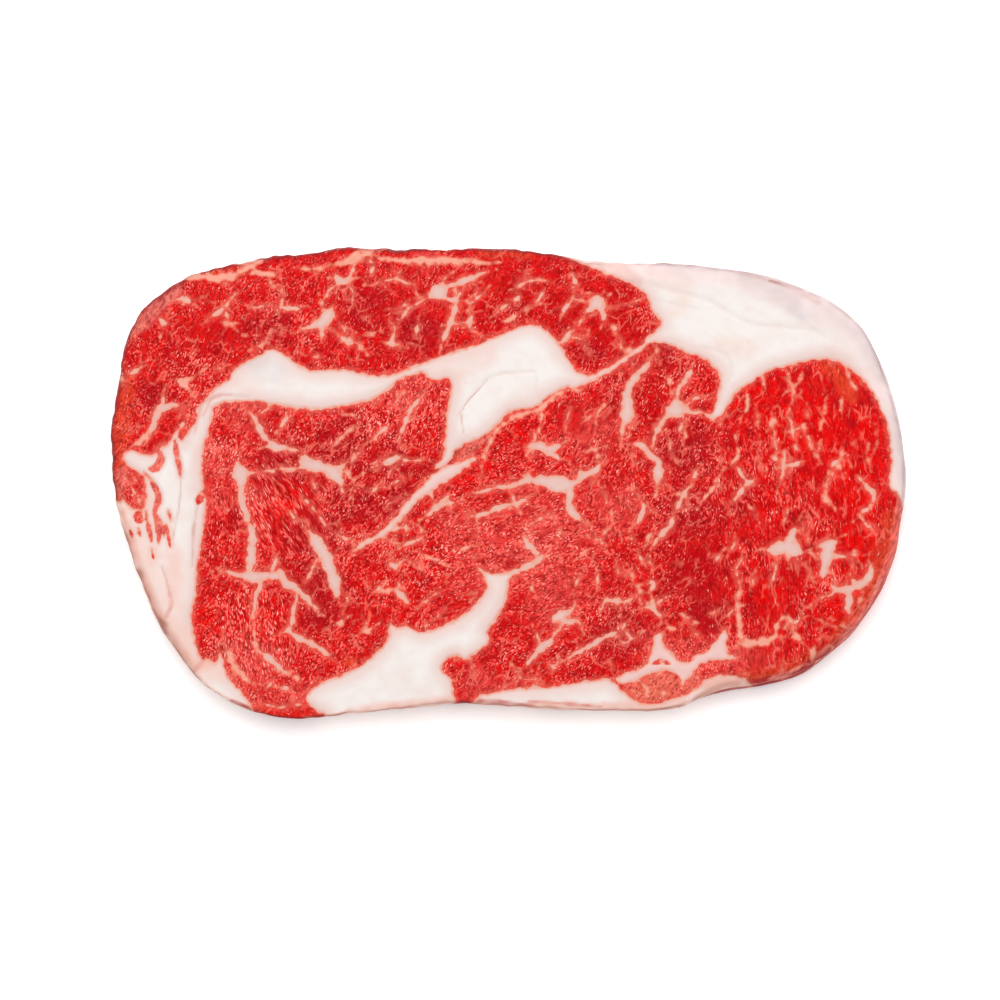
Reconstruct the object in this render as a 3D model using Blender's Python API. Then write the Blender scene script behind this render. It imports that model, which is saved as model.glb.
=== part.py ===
"""A raw boneless ribeye steak, cut an inch thick and lying flat.

It is one solid: a slice across the rib muscles, with the hard fat between and around
them running right through. The cut face is looked at from above, +X to its right and
+Y away, with the origin in the middle of the underside. Metres, +Z up.
"""

import math

import bmesh
import bpy
import numpy as np
from mathutils import Vector, geometry, kdtree, noise

MM = 0.001

# Driving dimensions, in metres.
LENGTH = 0.190
WIDTH = 0.1124
THICKNESS = 0.025

# The side wall: how it rounds over at the cut faces, and how far the slice leans.
TOP_ROUND_DROP = 1.3  # the rounding's height as a share of its reach
BOTTOM_ROUND = 2.6 * MM
LEAN = Vector((1.5 * MM, -1.6 * MM))  # underside against top
BELLY = 0.7 * MM  # how far the wall swells half way up
WALL_RIPPLE = 0.9 * MM
WALL_RIPPLE_SIZE = 13 * MM

# Relief of the cut face.
SEAM_DEPTH = 0.5 * MM
SEAM_WIDTH = 1.7 * MM
STREAK_DEPTH = 0.25 * MM
STREAK_WIDTH = 1.5 * MM
LUMP_HEIGHT = 0.7 * MM
LUMP_SIZE = 24 * MM
CROWN_DROP = 0.5 * MM  # the face falls this much towards its rim
CROWN_REACH = 14 * MM

# How finely the solid is divided.
RIM_POINTS = 208
ROUND_STEPS = 3
WALL_STEPS = 4
OUTLINE_STEP = 2.2 * MM
CLEAR_OF_LINE = 1.3 * MM
CLEAR_OF_RIM = 1.6 * MM
TOP_SPACING = 2.9 * MM
UNDERSIDE_SPACING = 8 * MM

# The outline seen from above, anticlockwise from the right end. Each point is x, y and
# the reach of the rounding there, in millimetres: the soft fat cap rounds widest.
RIM = (
    (95.0, 0.5, 4.0), (94.3, 9.0, 4.5), (92.3, 19.5, 5.2), (89.0, 28.8, 5.6),
    (85.0, 36.3, 6.0), (79.0, 42.2, 6.0), (72.0, 46.0, 6.0), (62.0, 49.5, 6.0),
    (51.0, 51.3, 5.6), (39.0, 52.6, 5.0), (28.0, 52.6, 4.2), (18.0, 53.5, 3.0),
    (9.0, 55.1, 2.2), (-3.0, 56.1, 1.9), (-20.0, 56.0, 1.9), (-36.0, 56.2, 1.9),
    (-48.0, 55.1, 2.1), (-57.0, 54.2, 2.3), (-67.0, 52.1, 2.6), (-77.0, 48.9, 2.8),
    (-84.5, 43.9, 2.8), (-89.3, 38.0, 2.5), (-91.7, 31.5, 2.2), (-92.9, 24.5, 2.2),
    (-94.0, 18.0, 2.2), (-94.8, 11.5, 2.2), (-94.4, 4.0, 2.2), (-93.6, -3.5, 2.5),
    (-92.0, -10.5, 2.9), (-89.8, -17.8, 3.0), (-87.0, -25.5, 3.0), (-83.5, -33.5, 3.0),
    (-79.0, -40.5, 3.0), (-73.0, -47.5, 3.0), (-67.0, -52.0, 2.8), (-60.0, -55.0, 2.5),
    (-52.0, -56.2, 2.2), (-43.0, -55.9, 2.0), (-36.0, -54.9, 2.0), (-24.0, -54.0, 2.0),
    (-13.0, -52.7, 2.0), (-4.0, -53.2, 2.0), (8.0, -54.0, 2.0), (22.0, -54.5, 2.0),
    (34.0, -54.5, 2.0), (41.0, -53.6, 2.0), (46.5, -51.4, 2.0), (53.0, -49.7, 1.8),
    (62.0, -48.4, 1.6), (70.0, -45.9, 1.6), (76.5, -41.2, 1.6), (82.0, -36.2, 1.6),
    (86.3, -30.3, 1.6), (90.2, -23.5, 1.8), (92.8, -15.8, 2.0), (94.3, -6.5, 2.8),
)

# The fat that parts the muscles, as outlines in millimetres. Where an outline runs past
# the rim, the fat reaches the side of the slice.
FAT_CAP = (
    (12, 62), (13.5, 54.8), (17.5, 52.2), (23, 49.7), (29, 47.3), (32.6, 44.4),
    (33.9, 41.2), (36, 37.8), (33.4, 35), (31, 32.2), (34.2, 33.1), (38.5, 32.7),
    (42, 30.8), (46, 29.7), (48.8, 27.4), (50.1, 25), (49.6, 20.5), (48.6, 17.6),
    (48, 15.4), (50.6, 15.6), (52.6, 18.8), (54.4, 21.4), (56.8, 23), (61.5, 26.2),
    (67, 27.8), (74, 29.4), (79, 28.3), (84, 24.6), (87.6, 19.3), (90, 13),
    (90.9, 6), (90.5, 0.5), (91.6, -2), (100, -4), (104, 30), (70, 64),
)
CAP_SEAM = (
    (34.5, 35.6), (29, 31), (24.5, 28.2), (19.5, 25.8), (16, 26.4),
    (14, 22.4), (18, 23.2), (24.5, 26.5), (29.5, 30), (33, 32.6),
)
KERNEL_FAT = (
    (-14.2, 24.6), (-14, 21), (-15, 15), (-15.4, 10), (-15.6, 6.8), (-17.8, 3.2),
    (-14.5, 4.6), (-11.3, 8.4), (-6.5, 10.6), (-2.5, 13.8), (0.5, 16.8), (6, 17.6),
    (9.5, 20.2), (13.5, 22.4), (18.5, 23.6), (17.4, 25.7), (15.8, 27.4), (13, 31.8),
    (9.8, 35.8), (6.8, 37.6), (3.5, 37.5), (-2, 35.5), (-7, 33.4), (-13, 31.4),
    (-20, 28.8), (-24, 27.3), (-20.3, 26.1), (-19.3, 24.9), (-16.8, 24.3),
)
BACK_BAND = (
    (-18, 29.5), (-24, 27.2), (-29, 25.7), (-35, 26.2), (-39.5, 27.2), (-46, 26.9),
    (-50, 28.3), (-53, 30.6), (-56, 32), (-60.5, 30), (-65, 27.2), (-67, 24.6),
    (-71, 21.6), (-74.5, 16.5), (-70.2, 17.8), (-67, 18.9), (-60.5, 19.1), (-54, 18.3),
    (-46.5, 17.3), (-39.5, 18), (-33, 19.5), (-29, 21.6), (-25.6, 24.6), (-20, 26.4),
)
LIP_FAT = (
    (-70.2, 18.6), (-70.8, 13.5), (-72.3, 8), (-73.1, 3), (-72, -3.5), (-71.6, -8),
    (-72.8, -14), (-74, -20), (-74.2, -27), (-74.8, -31), (-74.4, -36), (-72.9, -41.5),
    (-69.8, -42.2), (-68.2, -41.1), (-67.4, -43.6), (-65.2, -48.2), (-62, -51.6),
    (-60.3, -54), (-60, -62), (-100, -62), (-104, -14), (-90, -14.4), (-86.5, -12.8),
    (-81, -15), (-80, -9), (-80.8, -3), (-83.5, -1.2), (-89.5, 2.4), (-92, 5.4),
    (-90.6, 7.6), (-87.5, 7), (-84, 5.6), (-81.8, 3.4), (-80.4, 8), (-78.8, 8.6),
    (-77.6, 4.5), (-76.6, 10), (-74.6, 15), (-73, 19.4),
)
LOWER_WEDGE = (
    (-7.2, -20.2), (-3.5, -21.4), (1.5, -20.9), (7, -17.9), (0.8, -22.6), (-0.2, -27),
    (-1.8, -31), (-4.7, -35.4), (-4.6, -38.2), (-9.8, -41.9), (-13, -41.2),
    (-15.6, -43.7), (-13.6, -46.6), (-12.9, -50), (-12.6, -62), (-45, -62),
    (-43.8, -55.6), (-46, -54.2), (-48.4, -51), (-45, -47.6), (-38, -44.8),
    (-32.5, -41.2), (-29, -37), (-28.3, -32.7), (-26.5, -34.3), (-24, -34),
    (-20.5, -35.2), (-15.5, -33.8), (-10.5, -31), (-6.8, -27.5), (-5.4, -24.3),
)
LOWER_STRIP = (
    (-8.5, -51.6), (-3.5, -49.6), (3, -48.7), (12, -48.1), (19, -46.9), (24, -46.6),
    (27.5, -49.5), (31, -52), (35.5, -52.2), (39.5, -51), (43, -49.6), (46, -47.4),
    (49.5, -45.7), (57, -46.9), (60, -56), (30, -62), (0, -62), (-8.8, -58),
)
CORNER_STAR = (
    (25, -46.4), (30, -44.6), (33.6, -41), (34.2, -37.4), (36.2, -35.4), (37.2, -38.2),
    (39.5, -41.2), (43, -42.4), (47, -41), (50.5, -38.8), (53, -35.5), (53.2, -39.5),
    (55.2, -41.8), (52.5, -42.3), (47.5, -43.5), (44, -46), (41.5, -49), (39.8, -46.4),
    (36, -45), (31, -46.6), (27.5, -48.4),
)

# The broadest streaks of marbling: full width, then the line that each one follows.
STREAKS = (
    (3.0, (-15, 5.5), (-21.5, -0.5), (-27.5, -7.2), (-32, -11.6), (-37.5, -15.2)),
    (2.4, (-64.6, 3.4), (-63.6, -4.5), (-61.2, -12.5), (-61.6, -19.5), (-61, -24.5)),
    (2.4, (-47.5, -8.5), (-45, -14), (-43.4, -20), (-40.6, -27.2)),
    (2.0, (-55, -19.5), (-52.5, -24.2), (-46, -29)),
    (2.0, (-52.2, -25.4), (-52.8, -33.5), (-48, -38), (-42, -41.2)),
    (2.2, (-61.5, -38.5), (-56.5, -43), (-52, -45.6), (-46, -48.6)),
    (2.6, (-11.5, -3.6), (-3, -1), (4, 1.4), (13, 0.8), (22.5, 4.8)),
    (2.8, (13.5, 1.8), (14, -3.5), (17, -9)),
    (2.0, (-12.5, -7.6), (-7, -7.9), (0, -5.4), (5, -3)),
    (2.8, (4.8, 11.4), (8, 8.4), (13.5, 7.2)),
    (3.0, (33.2, 27.6), (28.6, 21.4), (28, 14.6), (27, 9.8)),
    (2.6, (45, 24), (40, 18.6), (37, 12.6), (34, 8)),
    (2.6, (31, 9.6), (34.6, 6), (35.8, 0.6)),
    (2.4, (62, -15.6), (65.5, -14.6), (68, -11.4)),
    (2.2, (76.2, -14.4), (75.2, -21)),
    (2.2, (76.5, -25.4), (82, -24.6), (86.4, -20.6)),
    (2.4, (-18.5, 43.5), (-15, 46.4), (-6, 49.8)),
    (2.0, (-13.8, 45.2), (-11.6, 42), (-15, 34)),
    (2.4, (-49, 34.5), (-45, 37.6), (-42.2, 40)),
    (2.2, (22, 44), (20.4, 41.8), (22.4, 38.6)),
    (1.8, (-60, 16), (-57.4, 9.4), (-51, 7.8)),
    (2.6, (-49.4, 4.6), (-44, 3), (-40.8, -1.2)),
)


def spline(points, closed=True, step=OUTLINE_STEP):
    """A smooth line through points given in millimetres, as points a step apart in metres."""
    p = np.array(points, float) * MM
    if closed:
        p = np.concatenate([p[-1:], p, p[:2]])
    else:
        p = np.concatenate([2 * p[:1] - p[1:2], p, 2 * p[-1:] - p[-2:-1]])
    t = np.linspace(0, 1, 16, endpoint=False)[:, None]
    pieces = []
    for a, b, c, d in zip(p, p[1:], p[2:], p[3:]):
        bend = (c - a) * t + (2 * a - 5 * b + 4 * c - d) * t**2 + (3 * b - a - 3 * c + d) * t**3
        pieces.append(b + bend / 2)
    fine = np.concatenate([*pieces, p[-2:-1]])
    run = np.concatenate([[0], np.cumsum(np.linalg.norm(np.diff(fine[:, :2], axis=0), axis=1))])
    count = max(3, round(run[-1] / step))
    at = np.linspace(0, run[-1], count + 1)
    line = np.stack([np.interp(at, run, column) for column in fine.T], axis=1)
    return line[:-1] if closed else line


def ribbon(width, *points):
    """The outline in metres of a streak that is widest half way along and ends in points."""
    line = spline(points, closed=False)
    along = np.gradient(line, axis=0)
    across = np.stack([-along[:, 1], along[:, 0]], axis=1)
    across /= np.linalg.norm(across, axis=1)[:, None]
    share = np.sin(np.linspace(0, math.pi, len(line)))[:, None] ** 0.6
    half = across * share * width * MM / 2
    return np.concatenate([line + half, (line - half)[-2:0:-1]])


def inside(outline, x, y):
    """True where the point lies inside the closed outline."""
    found = False
    for (x0, y0), (x1, y1) in zip(outline, np.roll(outline, -1, axis=0)):
        if (y0 > y) != (y1 > y) and x < x0 + (y - y0) / (y1 - y0) * (x1 - x0):
            found = not found
    return found


def fitted_rim():
    """Evenly spaced points of the rim with their rounding, centred and brought to size."""
    rim = spline(RIM, step=1.0 * MM)
    low, high = rim[:, :2].min(axis=0), rim[:, :2].max(axis=0)
    rim[:, :2] = (rim[:, :2] - (low + high) / 2) * (LENGTH, WIDTH) / (high - low)
    at = np.linspace(0, len(rim), RIM_POINTS, endpoint=False)
    index = np.arange(len(rim) + 1)
    return np.stack([np.interp(at, index, np.append(c, c[0])) for c in rim.T], axis=1)


def outward(rim):
    """The unit normal of an anticlockwise rim at each of its points."""
    along = np.roll(rim[:, :2], -1, axis=0) - np.roll(rim[:, :2], 1, axis=0)
    normal = np.stack([along[:, 1], -along[:, 0]], axis=1)
    return normal / np.linalg.norm(normal, axis=1)[:, None]


def wall_rings(rim, normal, top_z):
    """Closed rings of points up the side, from the underside's edge to the top's.

    The wall leans by LEAN from top to underside, swells by BELLY and ripples, and every
    column of it is then drawn in so that its furthest point stands on the rim.
    """
    lean = normal @ np.array(LEAN)
    reach = rim[:, 2]
    drop = reach * TOP_ROUND_DROP
    profile = []
    for k in range(ROUND_STEPS + 1):
        turn = math.pi / 2 * k / ROUND_STEPS
        inset = np.full(len(rim), BOTTOM_ROUND * (1 - math.sin(turn)))
        profile.append((inset, np.full(len(rim), BOTTOM_ROUND * (1 - math.cos(turn)))))
    for k in range(1, WALL_STEPS + 1):
        share = k / WALL_STEPS
        height = BOTTOM_ROUND + (THICKNESS - drop - BOTTOM_ROUND) * share
        places = np.column_stack([rim[:, :2], height]) / WALL_RIPPLE_SIZE
        ripple = np.array([noise.noise(Vector(place)) for place in places]) * WALL_RIPPLE
        profile.append((-(BELLY + ripple) * math.sin(math.pi * share), height))
    for k in range(1, ROUND_STEPS + 1):
        turn = math.pi / 2 * k / ROUND_STEPS
        inset = reach * (1 - math.cos(turn))
        profile.append((inset, THICKNESS - drop * (1 - math.sin(turn))))
    offsets = [-inset + lean * (1 - height / THICKNESS) for inset, height in profile]
    furthest = np.max(offsets, axis=0)
    rings = []
    for offset, (_, height) in zip(offsets, profile):
        place = rim[:, :2] + normal * (offset - furthest)[:, None]
        rings.append(np.column_stack([place, height * top_z(place) / THICKNESS]))
    return rings


def near_finder(points):
    """A function that gives the distance from a place in plan to the nearest of the points."""
    tree = kdtree.KDTree(len(points))
    for i, (x, y) in enumerate(points):
        tree.insert((x, y, 0), i)
    tree.balance()
    return lambda x, y: tree.find((x, y, 0))[2]


class Fat:
    """Where the fat lies, and the lines along which it meets the lean."""

    def __init__(self):
        areas = (
            FAT_CAP, CAP_SEAM, KERNEL_FAT, BACK_BAND, LIP_FAT,
            LOWER_WEDGE, LOWER_STRIP, CORNER_STAR,
        )
        self.outlines = [spline(area) for area in areas]
        self.outlines += [ribbon(*streak) for streak in STREAKS]
        self.boxes = [(o.min(axis=0), o.max(axis=0)) for o in self.outlines]
        seams = [p for i in range(len(areas)) for p in self.outlines[i] if not self.at(*p, i)]
        streaks = [p for _, *line in STREAKS for p in spline(line, closed=False)]
        self.to_seam = near_finder(seams)
        self.to_streak = near_finder(streaks)

    def at(self, x, y, but=None):
        """Whether a place is fat, by any outline but the one with this number."""
        for i, (outline, (low, high)) in enumerate(zip(self.outlines, self.boxes)):
            near = low[0] < x < high[0] and low[1] < y < high[1]
            if i != but and near and inside(outline, x, y):
                return True
        return False

    def border_runs(self, rim):
        """The fat's borders as runs of points that keep clear of the rim and each other."""
        kept = list(rim)
        runs = []
        for i, outline in enumerate(self.outlines):
            others = np.array(kept)
            run = []
            for x, y in np.concatenate([outline, outline[:1]]):
                gap = np.linalg.norm(others - (x, y), axis=1)
                free = gap.min() > CLEAR_OF_LINE and gap[: len(rim)].min() > CLEAR_OF_RIM
                if free and inside(rim, x, y) and not self.at(x, y, i):
                    run.append((x, y))
                elif run:
                    runs.append(run)
                    run = []
            if run:
                runs.append(run)
            kept += [point for run in runs for point in run]
        return runs


def cut_face_height(fat, rim):
    """The height of the top cut face as a function of places in plan."""
    to_rim = near_finder(rim[:, :2])

    def height(places):
        found = []
        for x, y in places:
            seam = SEAM_DEPTH * math.exp(-((fat.to_seam(x, y) / SEAM_WIDTH) ** 2))
            streak = STREAK_DEPTH * math.exp(-((fat.to_streak(x, y) / STREAK_WIDTH) ** 2))
            lump = LUMP_HEIGHT * (1 - noise.noise(Vector((x, y, 0)) / LUMP_SIZE)) / 2
            crown = CROWN_DROP * math.exp(-to_rim(x, y) / CROWN_REACH)
            found.append(THICKNESS - max(seam, streak) - lump - crown)
        return np.array(found)

    return height


def triangulated(ring, spacing, runs):
    """Triangles that fill a ring of plan points and keep to the runs of points inside it.

    Returns plan points, the first len(ring) of which are the ring's own, and faces.
    """
    points = [tuple(p) for p in ring]
    edges = []
    for run in runs:
        first = len(points)
        closed = run[0] == run[-1]
        points += run[:-1] if closed else run
        last = len(points) - 1
        edges += [(i, i + 1) for i in range(first, last)]
        if closed:
            edges.append((last, first))
    to_line = near_finder(points)
    low, high = ring.min(axis=0), ring.max(axis=0)
    row_height = spacing * math.sqrt(0.75)
    for row in range(math.ceil((high[1] - low[1]) / row_height)):
        y = low[1] + row * row_height
        for x in np.arange(low[0] + spacing / 2 * (row % 2), high[0], spacing):
            if to_line(x, y) > spacing * 0.55 and inside(ring, x, y):
                points.append((x, y))
    vectors = [Vector(p) for p in points]
    found = geometry.delaunay_2d_cdt(vectors, edges, [list(range(len(ring)))], 1, 1e-7)
    places, faces, original = found[0], found[2], found[3]
    order = {old[0]: new for new, old in enumerate(original) if old and old[0] < len(ring)}
    first = [order[i] for i in range(len(ring))]
    rest = sorted(set(range(len(places))) - set(first))
    renumber = {old: new for new, old in enumerate(first + rest)}
    plan = np.array([places[i] for i in first + rest])
    return plan, [[renumber[i] for i in face] for face in faces]


def steak_mesh():
    """One closed mesh of the slice, its faces marked as lean (0) or fat (1)."""
    rim = fitted_rim()
    fat = Fat()
    top_z = cut_face_height(fat, rim)
    rings = wall_rings(rim, outward(rim), top_z)
    top_ring, under_ring = rings[-1][:, :2], rings[0][:, :2]
    top, top_faces = triangulated(top_ring, TOP_SPACING, fat.border_runs(top_ring))
    under, under_faces = triangulated(under_ring, UNDERSIDE_SPACING, [])

    mesh = bmesh.new()
    ring_verts = [[mesh.verts.new(p) for p in ring] for ring in rings]
    top_verts = list(ring_verts[-1])
    under_verts = list(ring_verts[0])
    for (x, y), z in zip(top[len(rim):], top_z(top[len(rim):])):
        top_verts.append(mesh.verts.new((x, y, z)))
    for x, y in under[len(rim):]:
        under_verts.append(mesh.verts.new((x, y, 0)))
    for lower, upper in zip(ring_verts, ring_verts[1:]):
        for i in range(len(rim)):
            j = (i + 1) % len(rim)
            mesh.faces.new((lower[i], lower[j], upper[j], upper[i]))
    for face in top_faces:
        mesh.faces.new([top_verts[i] for i in face])
    for face in under_faces:
        mesh.faces.new([under_verts[i] for i in face])
    bmesh.ops.recalc_face_normals(mesh, faces=mesh.faces)
    for face in mesh.faces:
        x, y, _ = face.calc_center_median()
        face.material_index = int(fat.at(x, y))
    tallest = max(vert.co.z for vert in mesh.verts)
    for vert in mesh.verts:
        vert.co.z *= THICKNESS / tallest
    return mesh


def surface(name, colour, roughness):
    """A plain Principled material."""
    material = bpy.data.materials.new(name)
    material.use_nodes = True
    shader = material.node_tree.nodes["Principled BSDF"]
    shader.inputs["Base Color"].default_value = (*colour, 1)
    shader.inputs["Roughness"].default_value = roughness
    shader.inputs["Metallic"].default_value = 0
    return material


for old in list(bpy.data.objects):
    bpy.data.objects.remove(old)

shape = bpy.data.meshes.new("ribeye_steak")
built = steak_mesh()
built.to_mesh(shape)
built.free()
shape.materials.append(surface("lean_beef", (0.52, 0.02, 0.02), 0.35))
shape.materials.append(surface("beef_fat", (0.86, 0.74, 0.68), 0.45))
shape.shade_smooth()
shape.set_sharp_from_angle(angle=math.radians(50))
steak = bpy.data.objects.new("ribeye_steak", shape)
bpy.context.scene.collection.objects.link(steak)
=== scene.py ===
import math

import bpy
import numpy as np
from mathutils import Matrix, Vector, geometry, kdtree, noise


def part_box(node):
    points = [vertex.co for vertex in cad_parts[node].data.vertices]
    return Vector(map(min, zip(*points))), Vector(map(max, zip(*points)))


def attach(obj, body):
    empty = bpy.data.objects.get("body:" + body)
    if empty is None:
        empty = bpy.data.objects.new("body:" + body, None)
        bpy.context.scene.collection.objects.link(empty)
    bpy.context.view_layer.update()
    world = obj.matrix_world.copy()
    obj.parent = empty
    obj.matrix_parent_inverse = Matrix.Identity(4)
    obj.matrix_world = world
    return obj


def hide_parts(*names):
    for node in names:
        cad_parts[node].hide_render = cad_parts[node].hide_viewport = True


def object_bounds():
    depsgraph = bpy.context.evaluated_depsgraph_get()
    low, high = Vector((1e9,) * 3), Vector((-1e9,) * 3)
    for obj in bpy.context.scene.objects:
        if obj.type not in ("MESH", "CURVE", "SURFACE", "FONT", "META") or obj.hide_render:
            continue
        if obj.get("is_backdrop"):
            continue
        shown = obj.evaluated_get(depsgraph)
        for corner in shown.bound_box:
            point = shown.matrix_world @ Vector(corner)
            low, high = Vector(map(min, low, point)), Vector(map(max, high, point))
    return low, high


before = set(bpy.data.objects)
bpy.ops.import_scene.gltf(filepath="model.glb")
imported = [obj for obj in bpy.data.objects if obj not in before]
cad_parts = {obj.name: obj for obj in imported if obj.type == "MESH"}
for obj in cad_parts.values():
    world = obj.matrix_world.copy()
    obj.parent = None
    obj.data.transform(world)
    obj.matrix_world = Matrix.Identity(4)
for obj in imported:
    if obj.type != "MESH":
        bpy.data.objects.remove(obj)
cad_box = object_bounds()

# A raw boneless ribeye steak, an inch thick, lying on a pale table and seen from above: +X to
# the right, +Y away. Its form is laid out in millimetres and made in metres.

# The hard fat between the muscles
# Firm white fat that fills the space between the muscles and runs right through the slice. Its
# borders are drawn as outlines on the cut face, and where one passes the steak's edge the fat
# reaches the side. The cap at the upper right and the seams were one sheet on the carcass.
FAT_CAP = (
    (12, 62), (13.5, 54.8), (17.5, 52.2), (23, 49.7), (29, 47.3), (32.6, 44.4),
    (33.9, 41.2), (36, 37.8), (33.4, 35), (31, 32.2), (34.2, 33.1), (38.5, 32.7),
    (42, 30.8), (46, 29.7), (48.8, 27.4), (50.1, 25), (49.6, 20.5), (48.6, 17.6),
    (48, 15.4), (50.6, 15.6), (52.6, 18.8), (54.4, 21.4), (56.8, 23), (61.5, 26.2),
    (67, 27.8), (74, 29.4), (79, 28.3), (84, 24.6), (87.6, 19.3), (90, 13),
    (90.9, 6), (90.5, 0.5), (91.6, -2), (100, -4), (104, 30), (70, 64),
)
CAP_SEAM = (
    (34.5, 35.6), (29, 31), (24.5, 28.2), (19.5, 25.8), (16, 26.4),
    (14, 22.4), (18, 23.2), (24.5, 26.5), (29.5, 30), (33, 32.6),
)
KERNEL_FAT = (
    (-14.2, 24.6), (-14, 21), (-15, 15), (-15.4, 10), (-15.6, 6.8), (-17.8, 3.2),
    (-14.5, 4.6), (-11.3, 8.4), (-6.5, 10.6), (-2.5, 13.8), (0.5, 16.8), (6, 17.6),
    (9.5, 20.2), (13.5, 22.4), (18.5, 23.6), (17.4, 25.7), (15.8, 27.4), (13, 31.8),
    (9.8, 35.8), (6.8, 37.6), (3.5, 37.5), (-2, 35.5), (-7, 33.4), (-13, 31.4),
    (-20, 28.8), (-24, 27.3), (-20.3, 26.1), (-19.3, 24.9), (-16.8, 24.3),
)
BACK_BAND = (
    (-18, 29.5), (-24, 27.2), (-29, 25.7), (-35, 26.2), (-39.5, 27.2), (-46, 26.9),
    (-50, 28.3), (-53, 30.6), (-56, 32), (-60.5, 30), (-65, 27.2), (-67, 24.6),
    (-71, 21.6), (-74.5, 16.5), (-70.2, 17.8), (-67, 18.9), (-60.5, 19.1), (-54, 18.3),
    (-46.5, 17.3), (-39.5, 18), (-33, 19.5), (-29, 21.6), (-25.6, 24.6), (-20, 26.4),
)
LIP_FAT = (
    (-70.2, 18.6), (-70.8, 13.5), (-72.3, 8), (-72.6, 4), (-72.4, -0.5), (-71.9, -5),
    (-72.2, -10), (-72.9, -15), (-73.8, -20), (-74.1, -26), (-75, -30.5), (-74.9, -34.5),
    (-74, -38.5), (-73, -41.6), (-71, -41.8), (-69.8, -42.6), (-69.2, -41), (-68.4, -40.3),
    (-67.7, -42), (-66.9, -44.8), (-65.6, -47.2), (-63.2, -49.6), (-61.6, -52.2),
    (-60.3, -54), (-60, -62), (-100, -62), (-104, -5), (-93.4, -4.6), (-91.6, -3.6),
    (-90.8, -4.6), (-89.4, -5.8), (-88, -6.2), (-86.9, -6.4), (-86.4, -4), (-86.6, -1),
    (-86.9, 1.4), (-88.2, 2.4), (-90, 3.6), (-91.6, 5), (-92, 6.2), (-91, 7.6), (-89.5, 7.9),
    (-87, 7.2), (-84.6, 6.8), (-83.4, 8), (-82.2, 8.6), (-80.8, 9.6), (-79.8, 11.6),
    (-78.6, 12.4), (-77.9, 10.4), (-76.6, 12), (-74.6, 15), (-73, 19.4),
)
LOWER_WEDGE = (
    (-7.2, -20.2), (-3.5, -21.4), (1.5, -20.9), (7, -17.9), (0.8, -22.6), (-0.2, -27),
    (-1.8, -31), (-4.7, -35.4), (-4.6, -38.2), (-9.8, -41.9), (-13, -41.2),
    (-15.6, -43.7), (-13.6, -46.6), (-12.9, -50), (-12.6, -62), (-45, -62),
    (-43.8, -55.6), (-46, -54.2), (-48.4, -51), (-45, -47.6), (-38, -44.8),
    (-32.5, -41.2), (-29, -37), (-28.3, -32.7), (-26.5, -34.3), (-24, -34),
    (-20.5, -35.2), (-15.5, -33.8), (-10.5, -31), (-6.8, -27.5), (-5.4, -24.3),
)
LOWER_STRIP = (
    (-8.5, -51.6), (-3.5, -49.6), (3, -48.7), (12, -48.1), (19, -46.9), (24, -46.6),
    (27.5, -49.5), (31, -52), (35.5, -52.2), (39.5, -51), (43, -49.6), (46, -47.4),
    (49.5, -45.7), (57, -46.9), (60, -56), (30, -62), (0, -62), (-8.8, -58),
)
CORNER_STAR = (
    (25.2, -46.6), (27.6, -45.2), (30.6, -44.2), (32.8, -42.4), (33.9, -40.4), (34.3, -37.6),
    (35.4, -35.8), (36.5, -35.4), (36.7, -37.4), (37.4, -39), (39, -40.2), (39.9, -41.4),
    (41.2, -42.4), (43, -42.4), (44.3, -41), (46.4, -40.2), (48.4, -38.8), (50, -36.4),
    (51.6, -34.4), (52.1, -36.6), (51.9, -38.8), (52.6, -40.6), (55, -41.6), (53, -42.3),
    (50, -42.2), (47.4, -42.5), (45.4, -43.6), (44.2, -45), (43, -46.4), (41.4, -48.2),
    (40.4, -46.2), (39.2, -45), (37, -44.7), (34.6, -45.1), (32, -46.1), (29.6, -47.3),
    (27.2, -48),
)
DIAGONAL_SEAM = (
    (-7.5, 6.2), (-9.6, 5.9), (-12.5, 5), (-16, 3.6), (-19, 1.5), (-21, -0.8), (-24, -4),
    (-27, -7.8), (-30.6, -11.5), (-35, -14), (-36.8, -15.8), (-36.6, -16.5), (-31.5, -13.6),
    (-28, -11.5), (-25, -8.5), (-22, -5), (-19, -2.6), (-16, -0.6), (-13.4, 0.8), (-12, 2),
    (-10.6, 3.3), (-8.6, 4.6),
)
HARD_FAT = (
    DIAGONAL_SEAM, FAT_CAP, CAP_SEAM, KERNEL_FAT, BACK_BAND, LIP_FAT, LOWER_WEDGE, LOWER_STRIP,
    CORNER_STAR,
)
BORDER_STEP = 0.8  # how far apart the points on a border are
FAT_REACH = 8.0  # depths in the fat are told apart up to this far from its borders
CURVE_STEPS = 16  # how many short runs a smooth line makes between two given points


def smooth_line(points, step, closed=False):
    """Points a step apart along the smooth line through the given ones."""
    p = np.array(points, float)
    if closed:
        p = np.concatenate([p[-1:], p, p[:2]])
    else:
        p = np.concatenate([2 * p[:1] - p[1:2], p, 2 * p[-1:] - p[-2:-1]])
    t = np.linspace(0, 1, CURVE_STEPS, endpoint=False)[:, None]
    pieces = []
    for a, b, c, d in zip(p, p[1:], p[2:], p[3:]):
        bend = (c - a) * t + (2 * a - 5 * b + 4 * c - d) * t**2 + (3 * b - a - 3 * c + d) * t**3
        pieces.append(b + bend / 2)
    fine = np.concatenate([*pieces, p[-2:-1]])
    run = np.append(0, np.cumsum(np.linalg.norm(np.diff(fine[:, :2], axis=0), axis=1)))
    at = np.linspace(0, run[-1], max(3, round(run[-1] / step)) + 1)
    line = np.stack([np.interp(at, run, column) for column in fine.T], axis=1)
    return line[:-1] if closed else line


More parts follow.
